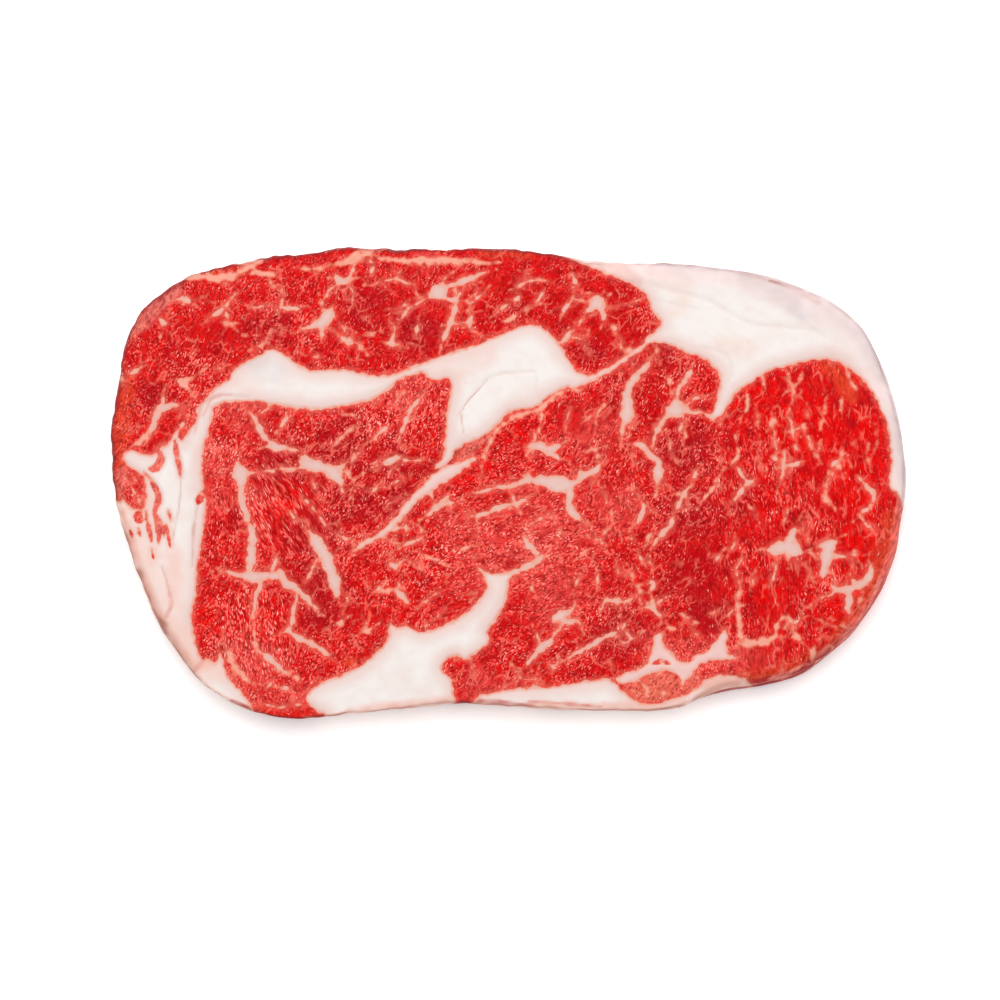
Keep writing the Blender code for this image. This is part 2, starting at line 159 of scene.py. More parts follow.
def depth_in_area(outline, places):
    """How deep each place lies inside a closed outline, and less than 0 outside it."""
    depth = np.full(len(places), -FAT_REACH)
    low, high = outline.min(axis=0) - FAT_REACH, outline.max(axis=0) + FAT_REACH
    near = np.flatnonzero(((places > low) & (places < high)).all(axis=1))
    x, y = places[near].T
    gap = np.full(len(near), FAT_REACH)
    inside = np.zeros(len(near), bool)
    for (x0, y0), (x1, y1) in zip(outline, np.roll(outline, -1, axis=0)):
        run_x, run_y = x1 - x0, y1 - y0
        t = (((x - x0) * run_x + (y - y0) * run_y) / (run_x**2 + run_y**2)).clip(0, 1)
        gap = np.minimum(gap, np.hypot(x - x0 - t * run_x, y - y0 - t * run_y))
        if y0 != y1:
            inside ^= ((y0 > y) != (y1 > y)) & (x < x0 + (y - y0) / run_y * run_x)
    depth[near] = np.where(inside, gap, -gap)
    return depth


def fat_depth(places):
    """How deep each place lies in the hard fat."""
    depth = np.full(len(places), -FAT_REACH)
    for area in HARD_FAT:
        border = smooth_line(area, BORDER_STEP, closed=True)
        depth = np.maximum(depth, depth_in_area(border, places))
    return depth


# The marbling
# Thin streaks of softer fat inside the muscles. Each row is a streak's full width and the line
# it follows, muscle by muscle. The bold ones are white, and the faint ones, which lie a little
# under the cut or hold some lean, are salmon.
RIB_CAP = (
    (1.3, (-65, 45), (-66.5, 43), (-68, 41.4), (-69.8, 40.2), (-71.2, 38.9)),
    (1.1, (-67.4, 41.4), (-66.9, 39.5), (-66.9, 38.2), (-67.2, 37.6)),
    (1.6, (-78.4, 43.7), (-77, 44), (-75.4, 42.4)), (0.5, (-76, 43.2), (-73.5, 43.7)),
    (1.4, (-83.1, 39.3), (-82, 38.2), (-82.4, 37)), (1.4, (-90, 26), (-88, 27.2)),
    (1.6, (-92.7, 24.6), (-91, 24.5)), (1.2, (-69.5, 27.2), (-68, 27.4)),
    (0.8, (-57.9, 33.8), (-57.2, 34.8)), (0.7, (-60.2, 32.2), (-58.6, 32.8)),
    (1.6, (-55.4, 41.8), (-52.5, 41.6), (-49.8, 41.5)),
    (1, (-54.2, 42), (-53.6, 43.8), (-54, 45.5)), (0.7, (-60.5, 41.7), (-57.2, 42.1), (-55, 41.8)),
    (0.5, (-55.5, 36), (-54.3, 36.1)),
    (2.9, (-47.2, 37.2), (-44.6, 38), (-42.8, 39.9), (-41.9, 41.4)),
    (1.2, (-49.4, 36.7), (-46, 37.3)), (1.6, (-44.9, 37.2), (-44.3, 36), (-44.3, 34.6)),
    (1, (-44, 36.7), (-42, 36.6), (-41, 36)), (2, (-39.8, 34.6), (-38.4, 33.9), (-37.3, 33.2)),
    (1, (-40, 38), (-39, 36.6), (-39.4, 35.3)), (1, (-37.5, 33.5), (-36, 33.2), (-35.3, 32)),
    (1, (-46.8, 30.3), (-45, 29.7)), (1.8, (-40.4, 47.9), (-39.2, 47.7), (-38.3, 47.9)),
    (1.4, (-41.2, 50), (-40.8, 48.5), (-39.5, 47.9)),
    (1.3, (-36.6, 52.4), (-37.2, 50.2), (-38.4, 48)),
    (1.1, (-40, 47.6), (-41.5, 46.8), (-42.8, 45.4), (-43.2, 44.6)),
    (1, (-38.4, 47.2), (-37.4, 46), (-36.9, 44.8), (-37.2, 43.8)),
    (1.1, (-33.6, 53), (-32, 52), (-32.5, 50.4), (-33.2, 48.9)),
    (1.1, (-31, 47.8), (-29, 48.1), (-26.6, 48.7), (-24.5, 47.6), (-22.4, 47.3), (-22.2, 46.4)),
    (0.8, (-26.6, 48.7), (-26.3, 49.7)), (3.2, (-17.4, 45), (-15.4, 46)),
    (1.7, (-16, 46), (-12.5, 47.4), (-9, 48.6), (-5.4, 50.2)),
    (1.3, (-16, 46.8), (-15, 48.8), (-14, 49.6)), (1.8, (-16.2, 44.6), (-13.5, 43.4), (-12, 43.2)),
    (1.2, (-12.4, 43.6), (-11.3, 45.3), (-10.8, 46.4)),
    (1.6, (-12.7, 43.4), (-12.6, 41.5), (-13.4, 39.8), (-13.7, 38), (-14.6, 36.5),
     (-15.3, 34.5), (-15.9, 32.9)),
    (1.1, (-13.8, 37.6), (-11, 38.1), (-9.3, 38.3)), (1, (-9.6, 38.1), (-8.6, 39.4), (-9, 40.4)),
    (0.9, (-9.2, 38.2), (-9.1, 36.8)),
    (1.2, (-17.2, 44.8), (-20, 43.6), (-23, 41.9), (-24.8, 40.9)),
    (0.9, (-23.7, 41.5), (-25, 39.6), (-26, 38.2)), (0.8, (-24, 42.6), (-27.5, 41.2)),
    (1, (-28, 38), (-26.9, 37.2), (-27, 36.2), (-27.3, 35.2), (-27.8, 33.8)),
    (1.5, (-28.8, 33.2), (-26.4, 33)), (0.8, (-26.6, 33), (-25.8, 32)),
    (1.1, (-21.4, 38), (-21.8, 36.6), (-21.9, 34.8)), (1, (-8.2, 44.6), (-7.2, 46)),
    (0.9, (-8.9, 42.6), (-7.4, 44), (-5.5, 45.3)), (1.1, (-2.9, 40.4), (-1.4, 41.7), (0.2, 42.6)),
    (1, (1.9, 46.4), (3.6, 47.6), (5.6, 48.1), (7.3, 48.3)), (0.8, (4, 50), (5.2, 49.6)),
    (1.1, (0.9, 43.6), (1.8, 43.7), (2.8, 44.6)), (1, (6, 42.3), (7, 43.5), (8.4, 45.4)),
    (1.5, (15.3, 49.5), (15.8, 48.2), (16.3, 47.4)), (0.8, (15, 47.2), (15.6, 45.4), (14.8, 43.8)),
    (1.3, (15.4, 44), (14.5, 42.8), (13.5, 41.7), (13.2, 40.4)),
    (0.6, (15, 43.2), (16.6, 43.7), (17.8, 44.2)),
    (1.7, (21.2, 43.8), (20.6, 42.6), (19.6, 41.6), (18.6, 40.6)), (2.8, (20, 43), (22, 42.6)),
    (1, (21.8, 43.2), (22.8, 43.8)), (1.5, (21.4, 42.4), (22, 41), (22.7, 40), (22.3, 38.2)),
    (1, (17.6, 39.6), (17, 38.2), (16.3, 37.2), (15.2, 36.2)), (1.3, (25.2, 37.4), (25.6, 36.2)),
    (0.9, (25.7, 35.6), (26.8, 34), (26.6, 32.6), (27.6, 31.8)), (0.8, (28.9, 32.3), (28.2, 31.5)),
    (1.6, (12.8, 33.6), (14, 34.8), (14.6, 36)),
    (1.1, (16, 34.6), (17.2, 34.2), (18.4, 34.6), (18.8, 35.6)),
    (0.6, (17.2, 34), (18, 32.5), (19.5, 30.5)),
    (0.5, (24.7, 42), (27, 42.3), (29.5, 42.9), (31, 43.6)),
)
RIB_CAP_FAINT = (
    (0.7, (-66.8, 38.2), (-65.4, 38)), (0.7, (-66, 37.6), (-63.6, 35.5)),
    (1.2, (-44, 40.5), (-44.2, 42.8)),
    (2.2, (-76.5, 48.9), (-72.5, 49.1), (-70, 48.6), (-66, 49.2), (-63, 50.6), (-59, 52.9)),
    (1.6, (-61, 50), (-57.5, 49.7), (-55, 49)), (1.2, (-56.3, 47.6), (-54.8, 45.7)),
    (1.2, (-49.5, 50.8), (-45, 51), (-42.5, 51.8), (-39.5, 52.4)),
    (2.4, (-39.2, 52.7), (-36, 53.6), (-33.2, 54.4)),
    (1.9, (-31, 53.4), (-27, 53), (-20, 52.9), (-14, 52.8), (-9, 52.6), (-4.5, 52.3)),
    (1, (4.2, 41), (6.2, 42)), (1.2, (-0.6, 38.5), (2.6, 40.4)), (0.9, (-7.6, 36), (-6.6, 35)),
    (1.4, (-33.8, 35.8), (-32.3, 35.6)), (0.8, (-34, 31.5), (-33, 30.2)),
)
LEFT_END = (
    (1.9, (-85.2, 11.3), (-84.3, 14.5), (-82.8, 17.5), (-82, 20.2)),
    (1.6, (-83.4, 16.7), (-81, 18.2), (-78.5, 18.7)), (0.7, (-78.3, 15.8), (-76.3, 18.3)),
    (1, (-78.2, 12.8), (-76.9, 15)),
)
LEFT_END_FAINT = (
    (1.9, (-88.5, 9.3), (-87, 10.3), (-85.8, 12)), (2, (-78.8, 24.2), (-77, 23.5), (-76, 22)),
    (0.8, (-76.3, 24.5), (-73.5, 26.2)),
)
COMPLEXUS = (
    (3, (-64.4, 4.6), (-63.6, 1.6), (-63.4, -1.4)), (1.9, (-63.5, 0), (-63.3, -4), (-62.4, -8)),
    (2.6, (-62.6, -7.4), (-61.2, -11), (-60.9, -13.6), (-61.2, -17.5), (-61.6, -21.4)),
    (1.8, (-61.3, 16.6), (-60, 14.8), (-59, 12.6), (-57.8, 10.8), (-56.6, 9.6), (-55.5, 8.8)),
    (0.9, (-60, 15.4), (-58.4, 17), (-57, 17.8)), (2.3, (-57.4, 8.6), (-55.4, 8.7), (-53.4, 8.3)),
    (1.1, (-54, 8.3), (-51, 8), (-48.6, 7.2)), (1.4, (-54.6, 12.6), (-53.2, 14.6), (-51.8, 16.4)),
    (1.4, (-56, 2.9), (-54, 3.5), (-51.8, 3.3), (-48.6, 3.8)),
    (0.9, (-62, 2.2), (-59, 2.7), (-55.8, 3)),
    (3, (-49.2, 4.8), (-45.4, 4), (-42, 3.2)), (3.6, (-43.6, 3.6), (-41.2, 2.2), (-39.9, 0)),
    (1, (-39.9, 0), (-39.2, -2.6)), (1.5, (-42, 3.2), (-39.8, 3.7), (-38.4, 4.8)),
    (1.6, (-49.2, 6.3), (-46.8, 5)), (1.2, (-36, 6.6), (-34.7, 8)),
    (0.8, (-37.4, 4.6), (-36.9, 5.9)), (1.3, (-31.7, 10.7), (-30.3, 12.3), (-28.6, 13.4)),
    (2.1, (-29.8, 4.9), (-27.5, 5.5), (-25.9, 6.1)),
    (0.9, (-26, 5.7), (-24, 5.3), (-22, 5.3), (-20.1, 5.6)),
    (1.1, (-28.5, 4.8), (-30.3, 4), (-31.3, 3)), (0.8, (-26.5, 4.7), (-28, 2.9)),
    (1.4, (-20, 21.2), (-22, 19), (-23.7, 16.4), (-24.6, 14.2), (-25.6, 12), (-26.1, 10.3)),
    (1, (-26.1, 20.2), (-27.3, 18.2)), (0.7, (-31, 19.5), (-31.9, 18.4)),
    (1.2, (-32.5, -2), (-30.6, -0.7)), (0.8, (-27, 0), (-25, 1.3)),
    (0.5, (-25.6, -3.3), (-28.6, -5), (-29.3, -6.3)),
    (0.9, (-49, -3), (-46.6, -6), (-44.5, -8.5), (-43, -10.5), (-40.6, -12.4), (-38.5, -13.4)),
    (1, (-39.6, -13), (-37.4, -13.4), (-36.8, -15)),
    (1, (-49.4, -8.8), (-47.5, -11.5), (-46.2, -14)),
    (3, (-46.9, -12), (-45.6, -14.2), (-44.2, -16.4), (-42.8, -18.6)),
    (3, (-44, -16.6), (-42.6, -20), (-41.5, -23.2), (-40.5, -26.8)),
    (1.1, (-45.6, -18.3), (-47, -21), (-48.4, -23.8)), (0.8, (-46.3, 0), (-45.5, -2), (-44, -3.6)),
    (1.2, (-52, -6.8), (-50.7, -9)), (1.6, (-60.4, -21.9), (-64, -22), (-67.2, -21)),
    (2.6, (-65, -22), (-61, -22.4), (-56, -22), (-53.2, -22.8)),
    (1.3, (-56.6, -22), (-55.8, -19.8), (-55.2, -17.8)),
    (1.5, (-59.6, -22.4), (-59.2, -24.4), (-60, -26.6), (-60.4, -29), (-60.7, -31.5)),
    (1.9, (-59.8, -39.4), (-57.5, -41.4), (-55, -43.4), (-52.8, -45.2)),
    (2, (-54.4, -20.6), (-53.3, -23.4), (-51.3, -24.6), (-48.8, -26.2)),
    (1.9, (-49.4, -26), (-47.8, -27.5), (-46.6, -29.2)), (0.9, (-46.4, -29), (-45.1, -30)),
    (1.6, (-50.2, -27), (-50.9, -29.5), (-51.3, -32.4), (-51.9, -34.8)),
    (2, (-52.2, -34.8), (-50.6, -36.5), (-48.6, -37.6), (-45.5, -39), (-42.4, -41.2)),
    (1, (-51.8, -35.2), (-53.9, -35.6)), (1.4, (-53.4, -48.6), (-52.2, -49.1)),
    (1, (-57.2, -48.6), (-55.9, -46.9)),
    (0.9, (-60, -52.2), (-57, -52.8), (-54.5, -53.4), (-51.5, -53), (-49, -52.6)),
    (0.9, (-37.9, -27.1), (-38.9, -28.9)), (1.3, (-31.3, -25.6), (-30.6, -24.8)),
    (2.2, (-26.8, -25.6), (-25.4, -27), (-23.9, -28.5)), (0.8, (-26.2, -25), (-25.9, -23.8)),
    (1.3, (-28.4, -17.1), (-27.6, -18.5)), (1.4, (-28, -19), (-26.5, -20.6)),
    (1, (-26.2, -19.3), (-24.8, -18.2), (-23.4, -18.6)),
    (1, (-16.2, -25.2), (-18, -27), (-20.1, -28.5)),
    (0.8, (-14.8, -29.7), (-17.4, -32.2), (-19.4, -33.7)), (1, (-24.3, -9.4), (-24.4, -12.2)),
    (0.9, (-20.8, -10.6), (-20.4, -12.6)), (1.1, (-20.3, -13), (-23, -14), (-25.9, -15.6)),
    (0.9, (-28, -11), (-25.5, -10.6)), (0.8, (-29.2, -13.2), (-27.6, -14)),
    (0.7, (-9, -42.4), (-8.7, -44)),
)
COMPLEXUS_FAINT = (
    (0.9, (-38, 2.2), (-37.3, 1), (-36, 1.1), (-34.5, 2.3)),
    (0.8, (-60.6, -30.5), (-60.5, -36), (-59.8, -39)), (1, (-53.5, -45), (-50, -46.4)),
    (1.5, (-40.4, -33.7), (-39.3, -32.9)), (0.9, (-33, -32.4), (-33.7, -33.9)),
    (1.5, (-34.1, -35.5), (-32.9, -34.9)), (1.2, (-30.4, -25.7), (-27, -25.6)),
    (0.7, (-23.4, -18.8), (-20.6, -20.7)), (0.8, (-19, -17.6), (-15.4, -19)),
    (1, (-7.4, -26.2), (-9, -28)),
    (0.7, (-38.5, 16.5), (-36.6, 16), (-36.3, 14.6), (-37.2, 12.8), (-39.5, 11), (-40.6, 10)),
    (1, (-40.6, 10.3), (-38.5, 12), (-37.2, 13.5)), (1.6, (-11, -15.8), (-9, -15)),
    (2, (-67.5, -38.5), (-65.5, -43), (-62, -47)),
)
EYE = (
    (1.8, (-18.8, -7.3), (-16.6, -5.5), (-14.5, -4.8), (-13, -4.7)),
    (1.3, (-16.6, -5), (-15.2, -3.8), (-14.4, -2.9)), (0.9, (-18.5, -2.4), (-17.8, -4)),
    (1.2, (-9, -2.8), (-6, -1.9), (-3, -1.2), (0, -0.9)),
    (1.5, (-10.5, -7.4), (-8, -7.8), (-5.5, -7.3), (-2.5, -6), (0, -5.1), (2.6, -4.8)),
    (0.8, (-7.8, -8), (-7.4, -9.4)), (1.4, (1.1, -3.1), (1.7, -4.8)), (1.1, (2, -4.8), (4.1, -3.9)),
    (1, (1.9, -5), (2.5, -6.3)), (1.1, (-3.9, 10.5), (-4.8, 8.6), (-5.4, 7)),
    (0.8, (-6.3, 2.8), (-6.6, 1.4)), (1.4, (6.5, 11.8), (6, 10), (5.2, 8.8)),
    (2.2, (4.6, 8.8), (7.5, 8.6), (10, 8), (12.6, 8.8)), (1.7, (9, 7.4), (11, 6.4), (12, 5.8)),
    (0.7, (5.9, 7.4), (5.2, 6.1)), (1.9, (21.6, 4.4), (20.5, 2.8), (18.4, 2.1), (16.4, 1)),
    (1.4, (17, 3), (16.6, 1.4)), (3.4, (16.4, 0.3), (13, -0.4), (10, 0.2), (7, 0.6)),
    (2.2, (8, 0.4), (5, 0.8), (2.6, -0.2)), (1.6, (3.5, 0.2), (0, -1), (-2.6, -0.9)),
    (1, (4.9, 2.4), (5.3, 1)), (2.8, (14.6, -0.2), (14.5, -3), (14.5, -5.6)),
    (2.6, (14.3, -5.2), (15.2, -7.2), (16.9, -8.5)), (0.7, (16.8, -8.4), (18.7, -10.3)),
    (0.7, (19.6, 0.9), (19.8, -0.4)), (2.2, (33.5, 28.6), (31, 26), (29, 23.2), (28, 20.4)),
    (3.6, (27.9, 21), (28.3, 17.5), (28, 14.6)), (1.6, (28.1, 15.6), (27.2, 13), (27, 10.6)),
    (2, (43.4, 26.6), (42, 24.5), (40.6, 22.6), (40, 20)),
    (3.8, (38, 16.9), (40, 17.4), (42.4, 17.3)), (2.4, (40, 19.6), (39.8, 17.6)),
    (1.7, (38.4, 17), (36.5, 14.3), (35.2, 12), (34.6, 10), (34.3, 8.2)),
    (1.4, (41.9, 16.6), (41.4, 14.5), (40.7, 12.5)), (1.3, (42.4, 18.4), (44, 20), (46.6, 20.4)),
    (1.1, (42.4, 17), (44, 16.7), (46, 16.8), (48.4, 15.4)),
    (1.9, (30.2, 9.2), (31.6, 9), (32.8, 7.8), (34.4, 6.4)),
    (2.5, (34, 6.6), (35.7, 4.6), (35.6, 2.4), (35.2, 0.2)), (0.7, (35.4, 0.4), (35.5, -1)),
    (0.7, (29.7, 8), (29.4, 6.6), (29.8, 4.6)), (0.5, (38.4, 8.6), (38.9, 6.6), (39.6, 5.4)),
    (1.5, (44.8, 2.8), (44, 0.9)),
    (1.6, (30.9, -2.8), (31.8, -4.4), (32.2, -6), (31.6, -7.8), (30.6, -9.5)),
    (1.5, (43, -0.8), (41.6, -3), (40.6, -5.2), (39.8, -6.8)),
    (1.4, (39.2, -7.4), (38.8, -9.6), (37.4, -11.4), (35.6, -13), (34.3, -15)),
    (0.8, (9.9, -7.1), (7.2, -8.7), (4.7, -9.9)), (0.6, (22.3, -1.2), (23, -3)),
    (0.8, (33.4, -5.8), (34.8, -7)), (0.5, (42.2, -4.2), (42.8, -6.2)),
    (1.2, (29.3, -12.7), (29.4, -13.9)), (1.2, (20.2, -13.4), (21.8, -13.2), (22.9, -11.7)),
    (0.9, (21.9, -13.2), (22.7, -14.8)), (1, (12.2, -11.3), (11.8, -13.3)),
    (1.8, (3.7, -12.8), (4.8, -14.8), (6.4, -16.2), (8, -17.2)),
    (1.6, (8, -17.2), (6.6, -18.9), (4.2, -20.3), (1, -21.3)),
    (0.5, (14.8, 17.8), (14, 15.4), (13.7, 13.8)), (0.6, (35.2, 31), (35.6, 29.6)),
)
EYE_FAINT = (
    (1.4, (16.4, 22.2), (12.6, 21.6), (9.8, 20), (7.6, 17.6), (3, 16.2), (0, 14.8),
     (-2.8, 12.2), (-5.6, 8)),
    (0.8, (42.2, 12.2), (41.9, 10.8)), (1, (24.6, -7), (24.4, -8.8)),
    (1.4, (33.6, -12.4), (33.2, -14)), (0.8, (20.6, 7.9), (21.3, 6.6), (21.2, 5)),
    (0.6, (18.8, 7.6), (22, 8.3)), (1.3, (19.9, 16.1), (18.9, 15.5)),
    (0.7, (22.6, 18.4), (21.6, 17.2), (21.1, 15.9)), (1.1, (6.5, 17), (8, 16.2), (7.7, 14.4)),
    (1, (7.5, 17.8), (8.4, 18.2), (9.3, 19.4)), (1, (38.2, 25), (38.5, 23.6)),
)
EYE_RIGHT = (
    (1, (66.9, 15), (67.5, 13), (67.8, 10.8)), (1.2, (69.3, 13.3), (67.8, 12.4)),
    (1.1, (68, 9), (68.5, 8)), (1, (70.6, 11.9), (71.4, 10.6), (71.8, 8.6)),
    (1, (63.6, 9.7), (63.6, 8)), (1.3, (65.5, 7.2), (65.7, 5.4), (65.4, 4)),
    (1.6, (65.3, 4.6), (65.2, 2.4), (64.7, 0.2)), (1.3, (65.6, 4.2), (68, 4.4), (69.5, 5.2)),
    (1.5, (63.2, 6.1), (64.3, 4.6)), (1, (54.3, 3.8), (55.6, 1.8), (56.6, 0.6)),
    (1.7, (58.7, 1), (56.4, -0.5), (54.8, -2.6), (53.5, -4.6)),
    (1.2, (78.8, 5.8), (77.4, 4.6), (76.9, 3.2)), (1, (77.4, 2.7), (76.1, 1)),
    (1.2, (75.8, 0.3), (75.4, -1.6)), (0.8, (80.5, 6.6), (80.7, 5.9)),
    (0.8, (79, 2.3), (79.4, 1.5)), (1.6, (83.4, 1.4), (85, -0.6), (86.7, -2.4), (86.8, -4.6)),
    (1.5, (83.8, -7.2), (85.4, -6.1)), (1.6, (84.7, -9.4), (86, -10.6), (87.1, -11.6)),
    (0.8, (71.3, -9), (71.6, -11.1)), (0.6, (70, -10.6), (70.6, -12.6)),
    (0.8, (69, -10.2), (68.9, -11.5)), (0.6, (58.2, -6.4), (58.9, -8)),
    (0.8, (51.4, -4.6), (51.6, -5.5)), (1.2, (53.9, -13.9), (53.1, -15.8)),
    (0.9, (49.3, -18.3), (50.3, -16.9)),
    (3.4, (62.2, -15.9), (65, -15.4), (67.4, -15.6), (69.4, -16.6)),
    (2.8, (66, -15.4), (67.3, -13), (68.1, -11)), (1.6, (66.4, -15.6), (66.6, -17.6)),
    (1.2, (64, -15.6), (63.3, -17.2)),
    (1.8, (73.9, -15.3), (76, -14.8), (77.9, -13.9)), (3.4, (76.8, -13.8), (76, -16.2), (75.6, -18.6)),
    (2.3, (75.8, -17), (75.3, -19.6), (74.7, -22.4)),
    (1, (76.4, -17), (79, -17.4), (82.8, -17)), (0.8, (81.8, -17.3), (81.8, -19.6)),
    (2.3, (77.4, -24.8), (80, -25.4), (82.4, -24.8), (84.6, -23.6), (86, -21.6), (86.2, -19.6)),
    (1.2, (82.2, -24.4), (81.8, -22.6)), (2, (81, -25.4), (81, -27.6), (80.8, -31.2)),
    (1.1, (78.4, -25.2), (76.6, -26.6), (74.8, -27), (73.2, -28.4)),
    (0.9, (77.6, -23.4), (78, -25)), (0.8, (68.4, -17.6), (69.5, -19.1)),
    (0.7, (71.4, -20.6), (72, -22.8)), (1, (63.7, -19.7), (63.3, -21.4), (62.8, -23.3)),
    (0.7, (58.2, -22), (58.1, -23.8)), (0.5, (58.8, 17.4), (58.9, 16.4)),
    (0.5, (59.3, 15.4), (59.3, 14.2)), (0.7, (71, 17), (71.2, 15.8)),
    (0.6, (73.6, 6), (73.6, 7.4), (74.2, 8.8)),
)
EYE_RIGHT_FAINT = (
    (0.9, (62.2, 13.6), (63, 15.2), (64, 13.8)), (1.2, (54.3, 9), (54.6, 7), (54, 5.6)),
    (1.2, (75.2, -3.4), (76.2, -5)), (0.9, (66.6, -6), (66.2, -8)),
    (1.2, (80.4, 28), (80.8, 25.5), (82.3, 23)), (1.1, (60.2, 25.6), (60.8, 24)),
    (1, (69.5, 25.8), (69, 24), (67, 22)), (0.9, (65.6, 25), (67.8, 23.4)),
    (1, (56.7, 20.6), (56.9, 18.5), (56.2, 16.8)), (0.9, (66.7, 24.9), (67.9, 21.1), (66.4, 16.7)),
    (0.8, (75.5, 19.8), (74.9, 14.8)), (0.8, (79.3, 19.8), (79, 17.3)),
    (0.9, (70.5, 11.6), (72.4, 7.8), (73.6, 6.5)), (0.9, (62.9, 14.8), (63.5, 8.5)),
    (0.8, (87.5, 12.2), (87.8, 9.7), (86.3, 6.5)), (0.8, (85.3, 7.8), (85.6, 4.7)),
    (0.9, (78.4, 5.3), (77.4, 2.8), (75.5, -0.4), (75.5, -5.5)), (0.9, (48.4, -1.7), (45.8, -4.5)),
    (0.8, (50.3, 2.1), (49, 0.2)), (0.9, (37.6, -0.4), (42, -3.6)),
)
EYE_LOWER = (
    (1, (55.4, -18.4), (54.2, -20.4), (54.6, -22.4), (55, -24.8)),
    (1, (54.4, -29.8), (53, -30.4), (52.3, -31.4)),
    (1, (67.6, -33.6), (69.3, -32.3)), (1.7, (33.3, -23.8), (34.6, -23.8), (33.9, -25.6)),
    (1, (17.1, -22), (16.1, -23.8)), (0.8, (21.2, -21.9), (21.3, -23.3)),
    (0.9, (26, -19.6), (26.1, -21.5), (27.4, -21.8)), (0.8, (28.8, -21), (29.7, -22.6)),
    (0.8, (31, -17), (31.7, -18.6)), (0.8, (32.7, -18.9), (33.6, -18.6), (34.2, -20)),
    (1.2, (22.4, -29.6), (22.8, -28.2), (24, -27.7), (25.6, -28.1), (27, -28.2),
     (28.6, -27.8), (30, -26.9)),
    (1.8, (25, -27.9), (26.2, -28.3)), (0.8, (25.8, -28.4), (26, -29.8)),
    (2, (34.3, -27.8), (34.5, -29.4), (35, -30.8)),
    (1.3, (34.6, -28.9), (36, -28.2), (37.1, -27.1)),
    (0.9, (34.2, -29.5), (32.2, -29.5), (31.4, -28.4), (31, -26.8)),
    (0.9, (35, -30.4), (35.8, -31.4), (37.2, -31.3)), (1.1, (42.3, -31.8), (43.3, -32.4)),
    (2.4, (10.6, -32.8), (12.2, -31.6), (14.2, -30.8)),
    (1.2, (14.6, -30.9), (15.6, -29.4), (15.9, -28.1)),
    (1.5, (12.8, -32.4), (14, -33.3), (15.8, -32.4)),
    (0.9, (15.6, -32.4), (16.8, -33.1), (17.1, -34.3)),
    (1.2, (13.6, -33), (12.4, -34.2), (10.8, -36.4)),
    (1.8, (10.9, -36.1), (9.6, -38), (7.6, -39.4), (6, -41.2), (4.4, -43.2)),
    (1, (7.6, -38.8), (7.2, -37), (6.7, -35.6)),
    (1.4, (27.2, -34.7), (24.6, -36), (22.4, -37), (19.8, -38.6), (17, -40), (14.3, -41.6)),
    (1, (27, -35), (27.6, -33.8), (28.5, -32.8)),
    (1, (26.4, -35.4), (26.4, -36.9), (27.8, -38.2), (29.4, -37), (31, -36.3)),
    (0.8, (28.2, -35.6), (29.2, -36.8)), (1.4, (9.6, -43.1), (11, -43.5), (11.9, -42.2)),
    (1, (11, -43.4), (10.6, -44.7)), (1, (1.5, -44.4), (2.4, -45.8), (3.4, -46.6), (6.4, -46.8)),
    (0.9, (2.6, -46.5), (0.8, -47.9)), (0.9, (6.7, -45.7), (6.1, -47.8)),
    (0.8, (43.2, -34), (44, -35.4), (45.3, -36.5)), (0.8, (48.6, -30.9), (49.7, -30.3)),
    (0.6, (65.3, -43), (64.9, -44.8)),
)
EYE_LOWER_FAINT = (
    (0.8, (29.6, -49.4), (33, -50), (37, -49.8)), (0.7, (33, -50), (33.6, -47.6), (35, -46)),
    (0.7, (36.6, -50), (37.4, -47.8), (38.6, -46.4)), (0.7, (31, -47), (32.6, -48.4)),
    (1.5, (63.7, -36.6), (63.8, -34), (64.8, -32.4), (66.2, -32), (67.4, -33.3), (67.6, -35)),
    (1.2, (67.6, -35), (68.4, -36.4), (69.6, -37.8)),
    (2.4, (55, -38.4), (57.6, -38), (60.4, -37.8), (63.4, -36.8)),
    (1.6, (55, -24.8), (54.6, -28), (54.6, -30.6), (54.9, -33), (55.1, -36), (55.3, -38.6)),
    (1.6, (72.5, -39.8), (72.4, -41.8)),
    (0.9, (39.6, -34.7), (38.2, -34.4), (37, -35), (36.2, -37)), (1.1, (5.3, -24.7), (5.6, -25.6)),
    (0.8, (16.6, -18), (18.1, -16.3)), (1.4, (74.3, -32.8), (75.7, -33.6)),
    (1.1, (79.1, -33.7), (80.5, -34.3)), (1.2, (76.1, -38.5), (76.9, -39.1)),
    (1, (83.7, -27.4), (82.8, -29.8)),
)
